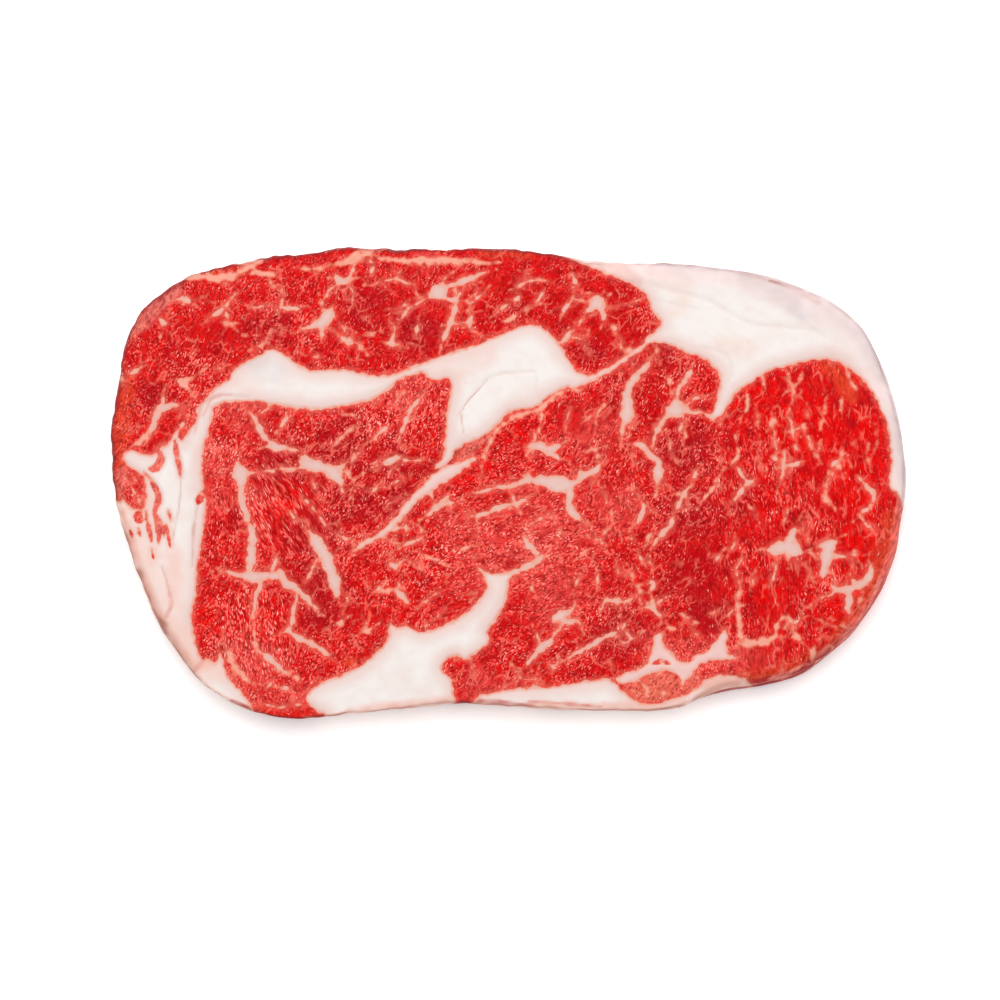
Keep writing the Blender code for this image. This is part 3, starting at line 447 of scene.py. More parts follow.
# Where lean and fat are mixed: threads of lean in the hard fat, most of them at the left end, and
# threads of fat in the lean beside it.
LEAN_IN_FAT = (
    (1.9, (-85.3, 3.4), (-84, 3.4), (-83, 4.6), (-82.6, 6.2), (-83.2, 7.4)),
    (1.2, (-79.3, 10.2), (-78.9, 7), (-78.3, 4), (-78, 1.6)),
    (1.3, (-86.7, 2.6), (-85.2, 1), (-84.1, -1), (-83.2, -3), (-83.5, -5), (-84.2, -7), (-83.7, -9)),
    (1.2, (-84, -8), (-83.2, -11.4), (-83.2, -14.4)), (2.2, (-88.2, -7.2), (-87.6, -9.4)),
    (0.9, (-86.1, -6.4), (-86, -9.6)), (0.9, (-83.6, -7.6), (-82.2, -10.6), (-81.9, -12.8)),
    (0.9, (-80.9, -6.6), (-80.3, -9)), (0.7, (-81.4, -9.8), (-80.9, -12.6), (-80.4, -15.2)),
    (1.1, (-86, -8.6), (-85.3, -11.6), (-84.9, -14)), (1, (-88.1, -10.8), (-87.5, -12.6)),
    (0.8, (-90, -11.2), (-89.4, -13)), (0.6, (-84.9, -15.6), (-84.4, -18)),
    (1.8, (-73.8, -4.8), (-72.9, -3), (-71.8, -2.4)), (1.6, (-33.5, 28), (-28, 26)),
    (1.2, (34.4, -43), (36.4, -42.4), (38.4, -43)), (0.9, (13.6, -32), (14.4, -32)),
)
FAT_IN_LIP = (
    (0.55, (-90.3, 0.2), (-89, -2), (-88, -4), (-87.2, -6)), (0.7, (-91.8, 2.6), (-91, 0.6)),
    (0.6, (-89.4, 1.8), (-88.4, 0.4)),
)

STREAK_REACH = 3.0  # depths in the streaks are told apart up to this far from their edges
STREAK_SHARE, STREAK_FADE = 1.15, 0.45  # what a streak keeps of its width, as its edges fade
STREAK_STEP = 0.9  # how far apart the points on a streak's line are
UNEVENNESS = ((0.5, 3.3), (0.3, 1.4))  # how much a streak's width changes, and over what length
FORK_FILLET = 0.9  # how wide the fillet is where two streaks meet
THREAD_WIDTH, THREAD_BEND = 0.5, 0.5


def wave(places, size, shift=0.0):
    """Smooth noise from about -1 to 1 whose waves have the given size."""
    return np.array([noise.noise(Vector((x + shift, y - shift, shift)) / size) for x, y in places])


def joined(depth, other, fillet):
    """The deeper of two depths, with a fillet where the two meet."""
    near = np.maximum(fillet - np.abs(depth - other), 0) / fillet
    return np.maximum(depth, other) + near**2 * fillet / 4


def mark_streak(depth, places, width, line, taper=0.6):
    """Raises depth to how deep the places lie in one streak, which narrows to its ends."""
    line = smooth_line(line, STREAK_STEP)
    low, high = line.min(axis=0) - STREAK_REACH, line.max(axis=0) + STREAK_REACH
    near = np.flatnonzero(((places > low) & (places < high)).all(axis=1))
    swell = np.sin(np.linspace(0, math.pi, len(line))) ** 0.7
    uneven = 1 + sum(share * wave(line, size) for share, size in UNEVENNESS)
    half = width / 2 * (1 - taper + taper * swell) * uneven
    run = np.diff(line, axis=0)
    away = places[near][:, None] - line[:-1]
    t = ((away * run).sum(axis=2) / (run**2).sum(axis=1)).clip(0, 1)
    gap = np.linalg.norm(away - t[..., None] * run, axis=2)
    found = (half[:-1] * (1 - t) + half[1:] * t - gap).max(axis=1)
    depth[near] = joined(depth[near], found, FORK_FILLET)


def streak_depth(rows, places):
    """How deep each place lies in the streaks of these rows."""
    depth = np.full(len(places), -STREAK_REACH)
    for width, *line in rows:
        mark_streak(depth, places, width * STREAK_SHARE - STREAK_FADE, line)
    return depth


def threads(rows):
    """The thin threads that streaks run out into at both ends, as rows of their own. They are
    longer on a wide streak, and each bends its own way."""
    for width, *line in rows:
        for end, before in ((line[0], line[1]), (line[-1], line[-2])):
            way = np.subtract(end, before) / math.dist(end, before)
            reach = 1.2 + 0.9 * width
            bend = np.array((-way[1], way[0])) * THREAD_BEND * math.sin(end[0] * 5 + end[1] * 3)
            middle = end + way * reach / 2 + bend * reach / 2
            yield THREAD_WIDTH, end, middle, end + way * reach + bend


# The slice
# The steak was cut from the rib with a long knife, so both faces are flat but for the muscles,
# which stand a little proud of the seams. Its side is the skin of the meat: it rounds over at
# the top, widest on the soft fat cap, and leans out a little at the lower right.
OUTLINE = (
    (95, 0.5, 4), (94.3, 9, 4.5), (92.3, 19.5, 5.2), (89, 28.8, 5.6), (85, 36.3, 6), (79, 42.2, 6),
    (72, 46, 6), (62, 49.5, 6), (51, 51.3, 5.6), (39, 52.6, 5), (28, 52.6, 4.2), (18, 53.5, 3),
    (9, 55.1, 2.2), (-3, 56.1, 1.9), (-20, 56, 1.9), (-36, 56.2, 1.9), (-48, 55.1, 2.1),
    (-57, 54.2, 2.3), (-67, 52.1, 2.6), (-77, 48.9, 2.8), (-84.5, 43.9, 2.8), (-89.3, 38, 2.5),
    (-91.7, 31.5, 2.2), (-92.9, 24.5, 2.2), (-94, 18, 2.2), (-94.8, 11.5, 2.2), (-94.4, 4, 2.2),
    (-93.6, -3.5, 2.5), (-92, -10.5, 2.9), (-89.8, -17.8, 3), (-87, -25.5, 3), (-83.5, -33.5, 3),
    (-79, -40.5, 3), (-73, -47.5, 3), (-67, -52, 2.8), (-60, -55, 2.5), (-52, -56.2, 2.2),
    (-43, -55.9, 2), (-36, -54.9, 2), (-24, -54, 2), (-13, -52.7, 2), (-4, -53.2, 2), (8, -54, 2),
    (22, -54.5, 2), (34, -54.5, 2), (41, -53.6, 2), (46.5, -51.4, 2), (53, -49.7, 1.8),
    (62, -48.4, 1.6), (70, -45.9, 1.6), (76.5, -41.2, 1.6), (82, -36.2, 1.6), (86.3, -30.3, 1.6),
    (90.2, -23.5, 1.8), (92.8, -15.8, 2), (94.3, -6.5, 2.8),
)  # x, y and the reach of the rounding there
MM = 0.001
LENGTH, WIDTH, THICKNESS = (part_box("ribeye_steak")[1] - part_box("ribeye_steak")[0]) / MM
EDGE_COUNT = 900
OUTLINE_STEP = 1.0
TOP_GRID, UNDERSIDE_GRID = 0.4, 1.0

LEAN = np.array((0.8, -1.2))  # how far the underside is moved out there
LEAN_FROM, LEAN_TO = 36, 54  # where along the length the side begins to lean out
SHOULDER = 0.9  # how much wider the rounding is where the side leans out
SHOULDER_FROM, SHOULDER_TO = 2, 12  # how far below the middle line the rounding widens
TOP_ROUND_DROP = 1.3  # the rounding's height as a share of its reach
SHARP_EDGE = 0.45  # what is left of the rounding along the lower edge
SHARP_FROM, SHARP_TO = 40, 50  # how far below the middle line that edge is
BOTTOM_ROUND = 2.6
BELLY = 0.4
WALL_RIPPLE, WALL_RIPPLE_SIZE = 0.6, 13.0
BOTTOM_STEPS, WALL_STEPS, TOP_STEPS = 4, 19, 8

RIM_RIPPLES = ((0.35, 6.0), (0.4, 2.3))  # the rim's small bumps: their height and length
RIPPLES_IN = 0.2  # how far the bumps stand back, as a share of their height
SOFT_RIM = 3.6  # a rim whose rounding reaches towards this far has fewer bumps
FEWEST_RIPPLES = 0.4  # what is left of the bumps there, and along the lower edge
LEANING_RIPPLES = 0.3  # what is left of them where the side leans out
RIPPLED_FROM, RIPPLED_TO = -45, -15  # where the rim, upward from the lower edge, has more

SEAM_DEPTH, SEAM_WIDTH = 0.24, 1.4
STREAK_DEPTH, STREAK_WIDTH = 0.22, 0.8
LUMP_HEIGHT, LUMP_SIZE = 0.7, 24.0
CROWN_DROP, CROWN_REACH = 0.5, 14.0  # the cut face falls this much towards its edge


def smooth_step(value, low, high):
    """0 below low, 1 above high, and an even curve between."""
    t = ((value - low) / (high - low)).clip(0, 1)
    return t * t * (3 - 2 * t)


rim = smooth_line(OUTLINE, OUTLINE_STEP, closed=True)
rim_low, rim_high = rim[:, :2].min(axis=0), rim[:, :2].max(axis=0)
rim[:, :2] = (rim[:, :2] - (rim_low + rim_high) / 2) * (LENGTH, WIDTH) / (rim_high - rim_low)
at = np.linspace(0, len(rim), EDGE_COUNT, endpoint=False)
rim = np.stack([np.interp(at, np.arange(len(rim) + 1), np.append(c, c[0])) for c in rim.T], axis=1)
leaning = smooth_step(rim[:, 0], LEAN_FROM, LEAN_TO)
shouldered = leaning * smooth_step(-rim[:, 1], SHOULDER_FROM, SHOULDER_TO)
rippled = np.clip(SOFT_RIM - rim[:, 2], FEWEST_RIPPLES, 1) * (1 - (1 - LEANING_RIPPLES) * leaning)
rippled *= FEWEST_RIPPLES + (1 - FEWEST_RIPPLES) * smooth_step(rim[:, 1], RIPPLED_FROM, RIPPLED_TO)
sharp = (1 - leaning) * smooth_step(-rim[:, 1], SHARP_FROM, SHARP_TO)
rim[:, 2] *= (1 - (1 - SHARP_EDGE) * sharp) * (1 + SHOULDER * shouldered)
along_rim = np.roll(rim[:, :2], -1, axis=0) - np.roll(rim[:, :2], 1, axis=0)
outward = np.stack([along_rim[:, 1], -along_rim[:, 0]], axis=1)
outward /= np.linalg.norm(outward, axis=1)[:, None]


def side_levels():
    """How far each level of the side stands in from the rim, its height, and how much of it
    is side rather than cut face, from the underside's edge up to the top's."""
    drop = rim[:, 2] * TOP_ROUND_DROP
    wall_top = THICKNESS - drop
    for turn in np.linspace(0, math.pi / 2, BOTTOM_STEPS + 1):
        inset = BOTTOM_ROUND * (1 - math.sin(turn))
        yield inset, np.full(EDGE_COUNT, BOTTOM_ROUND * (1 - math.cos(turn))), math.sin(turn)
    for share in np.linspace(0, 1, WALL_STEPS + 1)[1:]:
        height = BOTTOM_ROUND + (wall_top - BOTTOM_ROUND) * share
        spots = np.column_stack([rim[:, :2], height]) / WALL_RIPPLE_SIZE
        ripple = np.array([noise.noise(Vector(spot)) for spot in spots]) * WALL_RIPPLE
        yield -(BELLY + ripple) * math.sin(math.pi * share), height, 1.0
    for turn in np.linspace(0, math.pi / 2, TOP_STEPS + 1)[1:]:
        inset = rim[:, 2] * (1 - math.cos(turn))
        yield inset, THICKNESS - drop * (1 - math.sin(turn)), math.cos(turn)


levels = list(side_levels())
lean_out = outward @ LEAN * leaning
reaches = np.array([lean_out * (1 - h / THICKNESS) - inset for inset, h, _ in levels])
reaches -= reaches.max(axis=0)
for bump_height, bump_size in RIM_RIPPLES:
    spots = rim[:, :2] / bump_size
    bumps = np.array([noise.noise(Vector((*spot, bump_size))) for spot in spots])
    reaches += (bumps - RIPPLES_IN) * bump_height * rippled
side_plan = rim[:, :2] + outward * reaches[..., None]
side_height = np.array([height for _, height, _ in levels])
side_share = np.array([np.full(EDGE_COUNT, share) for *_, share in levels])


def filled(ring, spacing):
    """A flat net of squares inside a ring, joined to it by triangles: the net's points, and
    faces whose numbers count the ring's points first."""
    low, high = ring.min(axis=0), ring.max(axis=0)
    columns, rows = np.ceil((high - low) / spacing).astype(int) + 1
    x, y = np.meshgrid(low[0] + np.arange(columns) * spacing, low[1] + np.arange(rows) * spacing)
    net = np.column_stack([x.ravel(), y.ravel()])
    clear = (depth_in_area(ring, net) > spacing * 0.6).reshape(rows, columns)
    whole = clear[:-1, :-1] & clear[1:, :-1] & clear[:-1, 1:] & clear[1:, 1:]
    corner = np.arange(rows * columns).reshape(rows, columns)
    squares = np.stack(
        [corner[:-1, :-1], corner[:-1, 1:], corner[1:, 1:], corner[1:, :-1]], axis=-1
    )[whole]
    sides = np.concatenate([squares[:, [k, (k + 1) % 4]] for k in range(4)])
    sides = {tuple(side) for side in sides.tolist()}
    border = [side for side in sides if side[::-1] not in sides]
    border_points = sorted({i for side in border for i in side})
    order = {point: len(ring) + k for k, point in enumerate(border_points)}
    seeds = [Vector(p) for p in (*ring, *net[border_points])]
    edges = [(i, (i + 1) % len(ring)) for i in range(len(ring))]
    edges += [(order[a], order[b]) for a, b in border]
    found = geometry.delaunay_2d_cdt(seeds, edges, [], 0, 1e-6)
    assert len(found[0]) == len(seeds)
    used = np.unique(squares)
    number = np.full(rows * columns, -1)
    number[used] = np.arange(len(used)) + len(ring)
    faces = [number[square].tolist() for square in squares]
    seed_number = list(range(len(ring))) + [int(number[i]) for i in border_points]
    own = [origin[0] for origin in found[3]]
    middles = np.array([sum((found[0][i] for i in face), Vector((0, 0))) / 3 for face in found[2]])
    cell = np.floor((middles - low) / spacing).astype(int).clip(0, (columns - 2, rows - 2))
    between = (depth_in_area(ring, middles) > 0) & ~whole[cell[:, 1], cell[:, 0]]
    for face in np.array(found[2])[between]:
        faces.append([seed_number[own[i]] for i in face])
    return net[used], faces


top_net, top_faces = filled(side_plan[-1], TOP_GRID)
under_net, under_faces = filled(side_plan[0], UNDERSIDE_GRID)
plan = np.concatenate([side_plan.reshape(-1, 2), top_net, under_net])
height = np.concatenate([
    side_height.ravel(), np.full(len(top_net), THICKNESS), np.zeros(len(under_net))
])
side = np.concatenate([side_share.ravel(), np.zeros(len(top_net) + len(under_net))])

# Below the cut face the fat and the streaks wander a little on their way down.
DRIFTS = ((3.0, 16.0), (1.1, 4.5))  # how far and how long each of their bends is
BOLD = RIB_CAP + LEFT_END + COMPLEXUS + EYE + EYE_RIGHT + EYE_LOWER
FAINT = (
    RIB_CAP_FAINT + LEFT_END_FAINT + COMPLEXUS_FAINT + EYE_FAINT + EYE_RIGHT_FAINT
    + EYE_LOWER_FAINT
)
ISLAND_DEPTH = 0.1  # the lean islands are thin, so that fat shows through their grain
SEAM_FILLET = 1.4  # how wide the fillet is where a streak meets the hard fat
solid = np.column_stack([plan, height])
sunk = (1 - height / THICKNESS)[:, None]


def wave_in(points, size, shift=0.0):
    """Smooth noise from about -1 to 1 at points in space."""
    return np.array([noise.noise(Vector(p)) for p in points / size + shift])


place = plan.copy()
for far, size in DRIFTS:
    bend = np.column_stack([wave_in(solid, size, 5.3), wave_in(solid, size, 23.7)])
    place += bend * (sunk * size / 4).clip(0, 1) * far
hard = fat_depth(place)
bold = streak_depth(BOLD, place)
faint = streak_depth((*FAINT, *threads(BOLD), *threads(FAINT)), place)
for width, *line in LEAN_IN_FAT:
    island = np.full(len(place), -STREAK_REACH)
    mark_streak(island, place, width, line)
    hard = np.minimum(hard, np.maximum(-4 * island, -ISLAND_DEPTH))
for width, *line in FAT_IN_LIP:
    mark_streak(bold, place, width, line)
fat = joined(hard, bold, SEAM_FILLET)

# The cut face's relief
# Seams and streaks are grooves and the lean between stands in small cushions, each a bundle of
# fibres. Where the fat was folded or torn on the carcass, a crease is left in it.
CAP_FOLD = (
    (29.8, 48.9), (37.6, 46.2), (47.3, 43.6), (53.4, 40.1), (58.7, 37.9), (66, 37.2), (73, 36.4),
)
OUTER_FOLD = ((55.1, 50.4), (58.7, 48), (64.8, 42.7), (69.1, 39.2), (75.3, 34.9))
INNER_FOLD = ((46.4, 32.2), (49.9, 31.4), (52.5, 29.6), (53.4, 25.2))
LIP_CRACK = ((-78, 2), (-78, -2), (-78.4, -6), (-79, -9), (-79.8, -13.5))
SEAM_CRACK = ((-74, -5.6), (-74.7, -10), (-75, -15), (-75, -20))
LOW_NICK = ((-72.6, -42.2), (-73.6, -43.6), (-75, -45.4))
CREASES = (
    (0.2, 0.8, *CAP_FOLD), (0.15, 0.8, *OUTER_FOLD), (0.2, 0.6, *INNER_FOLD),
    (0.3, 0.35, (-11.3, 14), (-11.5, 16.5), (-9.5, 19.6), (-5, 24.5), (-1, 26), (6.4, 26.3)),
    (0.25, 0.4, *LIP_CRACK), (0.3, 0.4, *SEAM_CRACK), (0.35, 0.6, *LOW_NICK),
    (0.3, 0.5, (-82.5, -20), (-81.4, -23), (-80.6, -26.5), (-80.2, -29), (-81.4, -32)),
    (0.2, 0.4, (-72.8, 15.4), (-71.6, 18.6), (-68.4, 20.6), (-62, 20.2)),
)  # the depth, the width and the line of each
BUNDLE_HEIGHT, BUNDLE_SIZE = 0.16, 2.1
FIBRE_HEIGHT, FIBRE_SIZE = 0.09, 0.9
FAT_BUNDLES = 0.25  # what is left of the bundles' relief in the fat
LEAN_EDGE = 0.3  # the lean gives way to fat from this far outside the fat to as far inside
HAIRLINE = 0.01  # a crease's depth is reckoned from a line this wide

edge_tree = kdtree.KDTree(EDGE_COUNT)
for i, (x, y) in enumerate(side_plan[-1]):
    edge_tree.insert((x, y, 0), i)
edge_tree.balance()
from_edge = np.array([edge_tree.find((x, y, 0))[2] for x, y in plan])

seam = SEAM_DEPTH * np.exp(-((hard / SEAM_WIDTH) ** 2))
streak = STREAK_DEPTH * np.exp(-((bold.clip(None, 0) / STREAK_WIDTH) ** 2))
lump = LUMP_HEIGHT * (1 - wave(plan, LUMP_SIZE)) / 2
crown = CROWN_DROP * np.exp(-from_edge / CROWN_REACH)
lean_share = 1 - smooth_step(fat, -LEAN_EDGE, LEAN_EDGE)
crease = np.zeros(len(plan))
for depth, width, *line in CREASES:
    in_line = np.full(len(plan), -STREAK_REACH)
    mark_streak(in_line, plan, HAIRLINE, line)
    crease = np.maximum(crease, depth * np.exp(-((in_line / width) ** 2)))
bundles = BUNDLE_HEIGHT * wave(plan, BUNDLE_SIZE, 7.1) + FIBRE_HEIGHT * wave(plan, FIBRE_SIZE, 3.9)
bundles *= FAT_BUNDLES + (1 - FAT_BUNDLES) * lean_share
cut = THICKNESS - np.maximum(seam, streak) - crease - lump - crown + bundles
height *= cut / THICKNESS
height *= THICKNESS / height.max()

mesh = bpy.data.meshes.new("steak")
ring = np.arange(EDGE_COUNT)
after = np.roll(ring, -1)
faces = []
for level in range(len(levels) - 1):
    lower, upper = level * EDGE_COUNT, (level + 1) * EDGE_COUNT
    faces += np.column_stack([lower + ring, lower + after, upper + after, upper + ring]).tolist()
side_face_count = len(faces)
top_ring = (len(levels) - 1) * EDGE_COUNT
top_start = len(levels) * EDGE_COUNT
under_start = top_start + len(top_net)


def numbered(net_faces, ring_start, net_start, flip):
    """Faces of a filled ring with the whole mesh's numbers."""
    for face in net_faces:
        own = [ring_start + i if i < EDGE_COUNT else net_start + i - EDGE_COUNT for i in face]
        yield own[::-1] if flip else own


faces += numbered(top_faces, top_ring, top_start, False)
faces += numbered(under_faces, 0, under_start, True)
mesh.from_pydata(np.column_stack([plan, height]) * MM, [], faces)
mesh.shade_smooth()

# The lean
# Deep red muscle, cut across its fibres, so that it shows bundles two millimetres across and
# flecks of fat as fine as hair. It blooms bright red where air has reached it, is crimson where
# it was covered, and is drier and more orange along its outer edge.
LIGHT_GAIN = 1.4  # how much brighter the studio shows a surface than its own colour


def ink(red, green, blue):
    """The linear colour that shows in this light as a screen's red, green and blue, 0 to 255."""
    share = np.array((red, green, blue)) / 255
    return np.where(share > 0.04045, ((share + 0.055) / 1.055) ** 2.4, share / 12.92) / LIGHT_GAIN


LEAN, DARK_LEAN, FRESH_LEAN = ink(226, 18, 19), ink(182, 10, 20), ink(240, 42, 32)
LEAN_PATCHES = (
    (ink(178, 12, 26), 0.85, (  # covered, and crimson
        (-52, 5, 9), (-40, 8, 10), (-36, -4, 7), (-46, -13, 8), (-44, -31, 6), (-64, -8, 4),
        (42, 8, 9), (43, -8, 9), (44, -22, 9), (-22, 36, 7), (-34, 42, 6), (-28, 6, 6),
        (26, -35, 8), (20, 31, 4), (-26, -4, 6), (-84, 20, 5), (-46, -24, 8), (47, -31, 7),
        (-57, 36, 7), (57, -4, 5), (36, 30, 6),
    )),
    (ink(206, 6, 12), 0.8, (  # deep red
        (0, 42, 8), (12, 44, 9), (27, 38, 8), (30, 21, 9), (24, 9, 7), (34, -15, 6),
        (46, -18, 8), (71, -31, 4), (69, -19, 5), (-76, 28, 7), (-58, 32, 6), (28, 46, 6),
    )),
    (ink(240, 6, 4), 0.9, (  # in full bloom
        (70, 12, 13), (82, 0, 11), (62, -4, 6), (77, -25, 8), (-8, 3, 6), (4, 13, 6),
        (-26, -26, 6), (-58, -30, 6), (60, 20, 8), (86, 4, 7), (-52, -4, 5), (61, -27, 6),
        (-72, -33, 4), (86, 14, 7), (84, -12, 8),
    )),
    (ink(236, 76, 70), 0.75, (  # pale with fine fat
        (8, -12, 14), (11, -25, 9), (-4, -18, 10), (20, 12, 8), (26, -6, 7),
        (-84, -4, 5), (-63, 17, 6), (-80, 6, 5), (-70, -3, 5), (-61, -43, 9), (-70, 5, 7),
        (-52, -51, 6), (-7, -49, 6), (56, -42, 7), (44, -43, 7), (36, -39, 6), (-24, 21, 6),
        (28, 30, 3), (-61, -3, 4), (-20, 53, 4), (-12, -10, 6),
    )),
)  # the colour, how much of it shows, and each patch's x, y and reach
LEAN_BANDS = (
    (ink(236, 76, 46), 0.75, 1.4, (  # dried along the outer edge
        (3.6, (-92.8, 4), (-92.5, 10), (-91.8, 17), (-90.6, 24)),
        (2, (-74, 50.3), (-70, 51), (-66, 51.6)), (1.8, (-6, 55), (0, 55), (5, 54.6)),
        (3, (75, 28), (79, 25), (82, 20)), (3.4, (56, -45.6), (61, -46.4), (68, -43.8), (75, -40)),
        (3.2, (78, -37.4), (84, -30), (87.6, -22), (90.6, -8)), (2.4, (-38.4, -42.6), (-33.4, -44)),
    )),
    (ink(232, 34, 24), 0.9, 1.0, ((3.2, (-60, -54), (-52, -55), (-43, -54.4)),)),
    # A thin bright orange line along the lower right edge: painted highlight of the wet edge.
    (ink(252, 118, 76), 0.8, 0.4, (
        (0.8, (92.3, -6), (90.9, -15.1), (88.4, -22.5), (84.8, -29.1), (80.6, -34.8)),
        (0.8, (80.6, -34.8), (75.3, -39.6), (69.1, -44.1), (61.6, -46.5), (55, -47)),
    )),
    (ink(240, 136, 124), 0.9, 1.4, ((3, (-88.6, 37), (-84, 42), (-79, 46)),)),
    (ink(226, 128, 112), 0.7, 1.2, ((2.2, (-11, 6), (-8, 9), (-3.5, 13.2)),)),
    (ink(120, 6, 10), 0.9, 0.3, (  # gaps between muscles, dark by their own colour and as painted shade in the cracks
        (0.9, (-11.3, 8.8), (-12.8, 6.8), (-14.2, 5)), (0.4, (-14.2, 5), (-16, 3.8), (-18, 2.5)),
        (0.3, (-55.4, 1.6), (-54.6, -1.4), (-53.4, -3)), (0.5, (-51.6, -7), (-48.6, -10)),
    )),
    (ink(242, 124, 114), 0.85, 1.2, (  # thin over the fat at the left end
        (4, (-86, 4), (-83, 5), (-82, 8)), (5, (-84, 1), (-84, -6), (-83, -13)),
        (2, (-79, 10), (-78, 1.6)), (2, (-91.6, 3), (-92.4, -2)),
    )),
    (ink(247, 128, 100), 0.8, 0.8, ((1.8, (-93.6, 1.5), (-93, -2), (-92, -5)),)),
    (ink(252, 128, 104), 0.8, 1.6, (
        (7, (31, -49), (36, -48.6), (39, -48.4)), (3, (41.6, -48.6), (44, -46)),
    )),
)  # the colour, how much of it shows, how soft its edge is, and each band's width and line
BLOTCH_SHARE, BLOTCH_SIZE = 0.35, 4.3  # how uneven a patch is, and over what length
BAND_TAPER = 0.3


def toward(tint, colour, share):
    """Moves a tint towards a colour by a share at each place."""
    return tint + (colour - tint) * share[:, None]


def nearness(x, y, reach, power=1):
    """1 at a spot, and fading to 0 at about twice its reach."""
    return np.exp(-((((place - (x, y)) / reach) ** 2).sum(axis=1) ** power))


def band_depth(lines, taper):
    """How deep each place lies in the bands of these widths and lines."""
    depth = np.full(len(place), -STREAK_REACH)
    for width, *line in lines:
        mark_streak(depth, place, width, line, taper)
    return depth


lean_tint = np.tile(LEAN, (len(place), 1))
for colour, strength, patches in LEAN_PATCHES:
    share = np.max([nearness(*patch) for patch in patches], axis=0)
    blotch = BLOTCH_SHARE * wave(place, BLOTCH_SIZE, strength * 10) * (share > 0.05)
    lean_tint = toward(lean_tint, colour, strength * smooth_step(share + blotch, 0.15, 0.95))
# Clouds of darker and of fresher lean lie all over it.
cloud = wave(place, 5.5, 11.3) + 0.6 * wave(place, 2.3, 17.9)
lean_tint = toward(lean_tint, DARK_LEAN, 0.8 * smooth_step(cloud, 0.1, 1.0))
lean_tint = toward(lean_tint, FRESH_LEAN, 0.5 * smooth_step(-cloud, 0.1, 1.0))
for colour, strength, softness, lines in LEAN_BANDS:
    band = band_depth(lines, BAND_TAPER)
    lean_tint = toward(lean_tint, colour, strength * smooth_step(band, -softness, softness / 2))
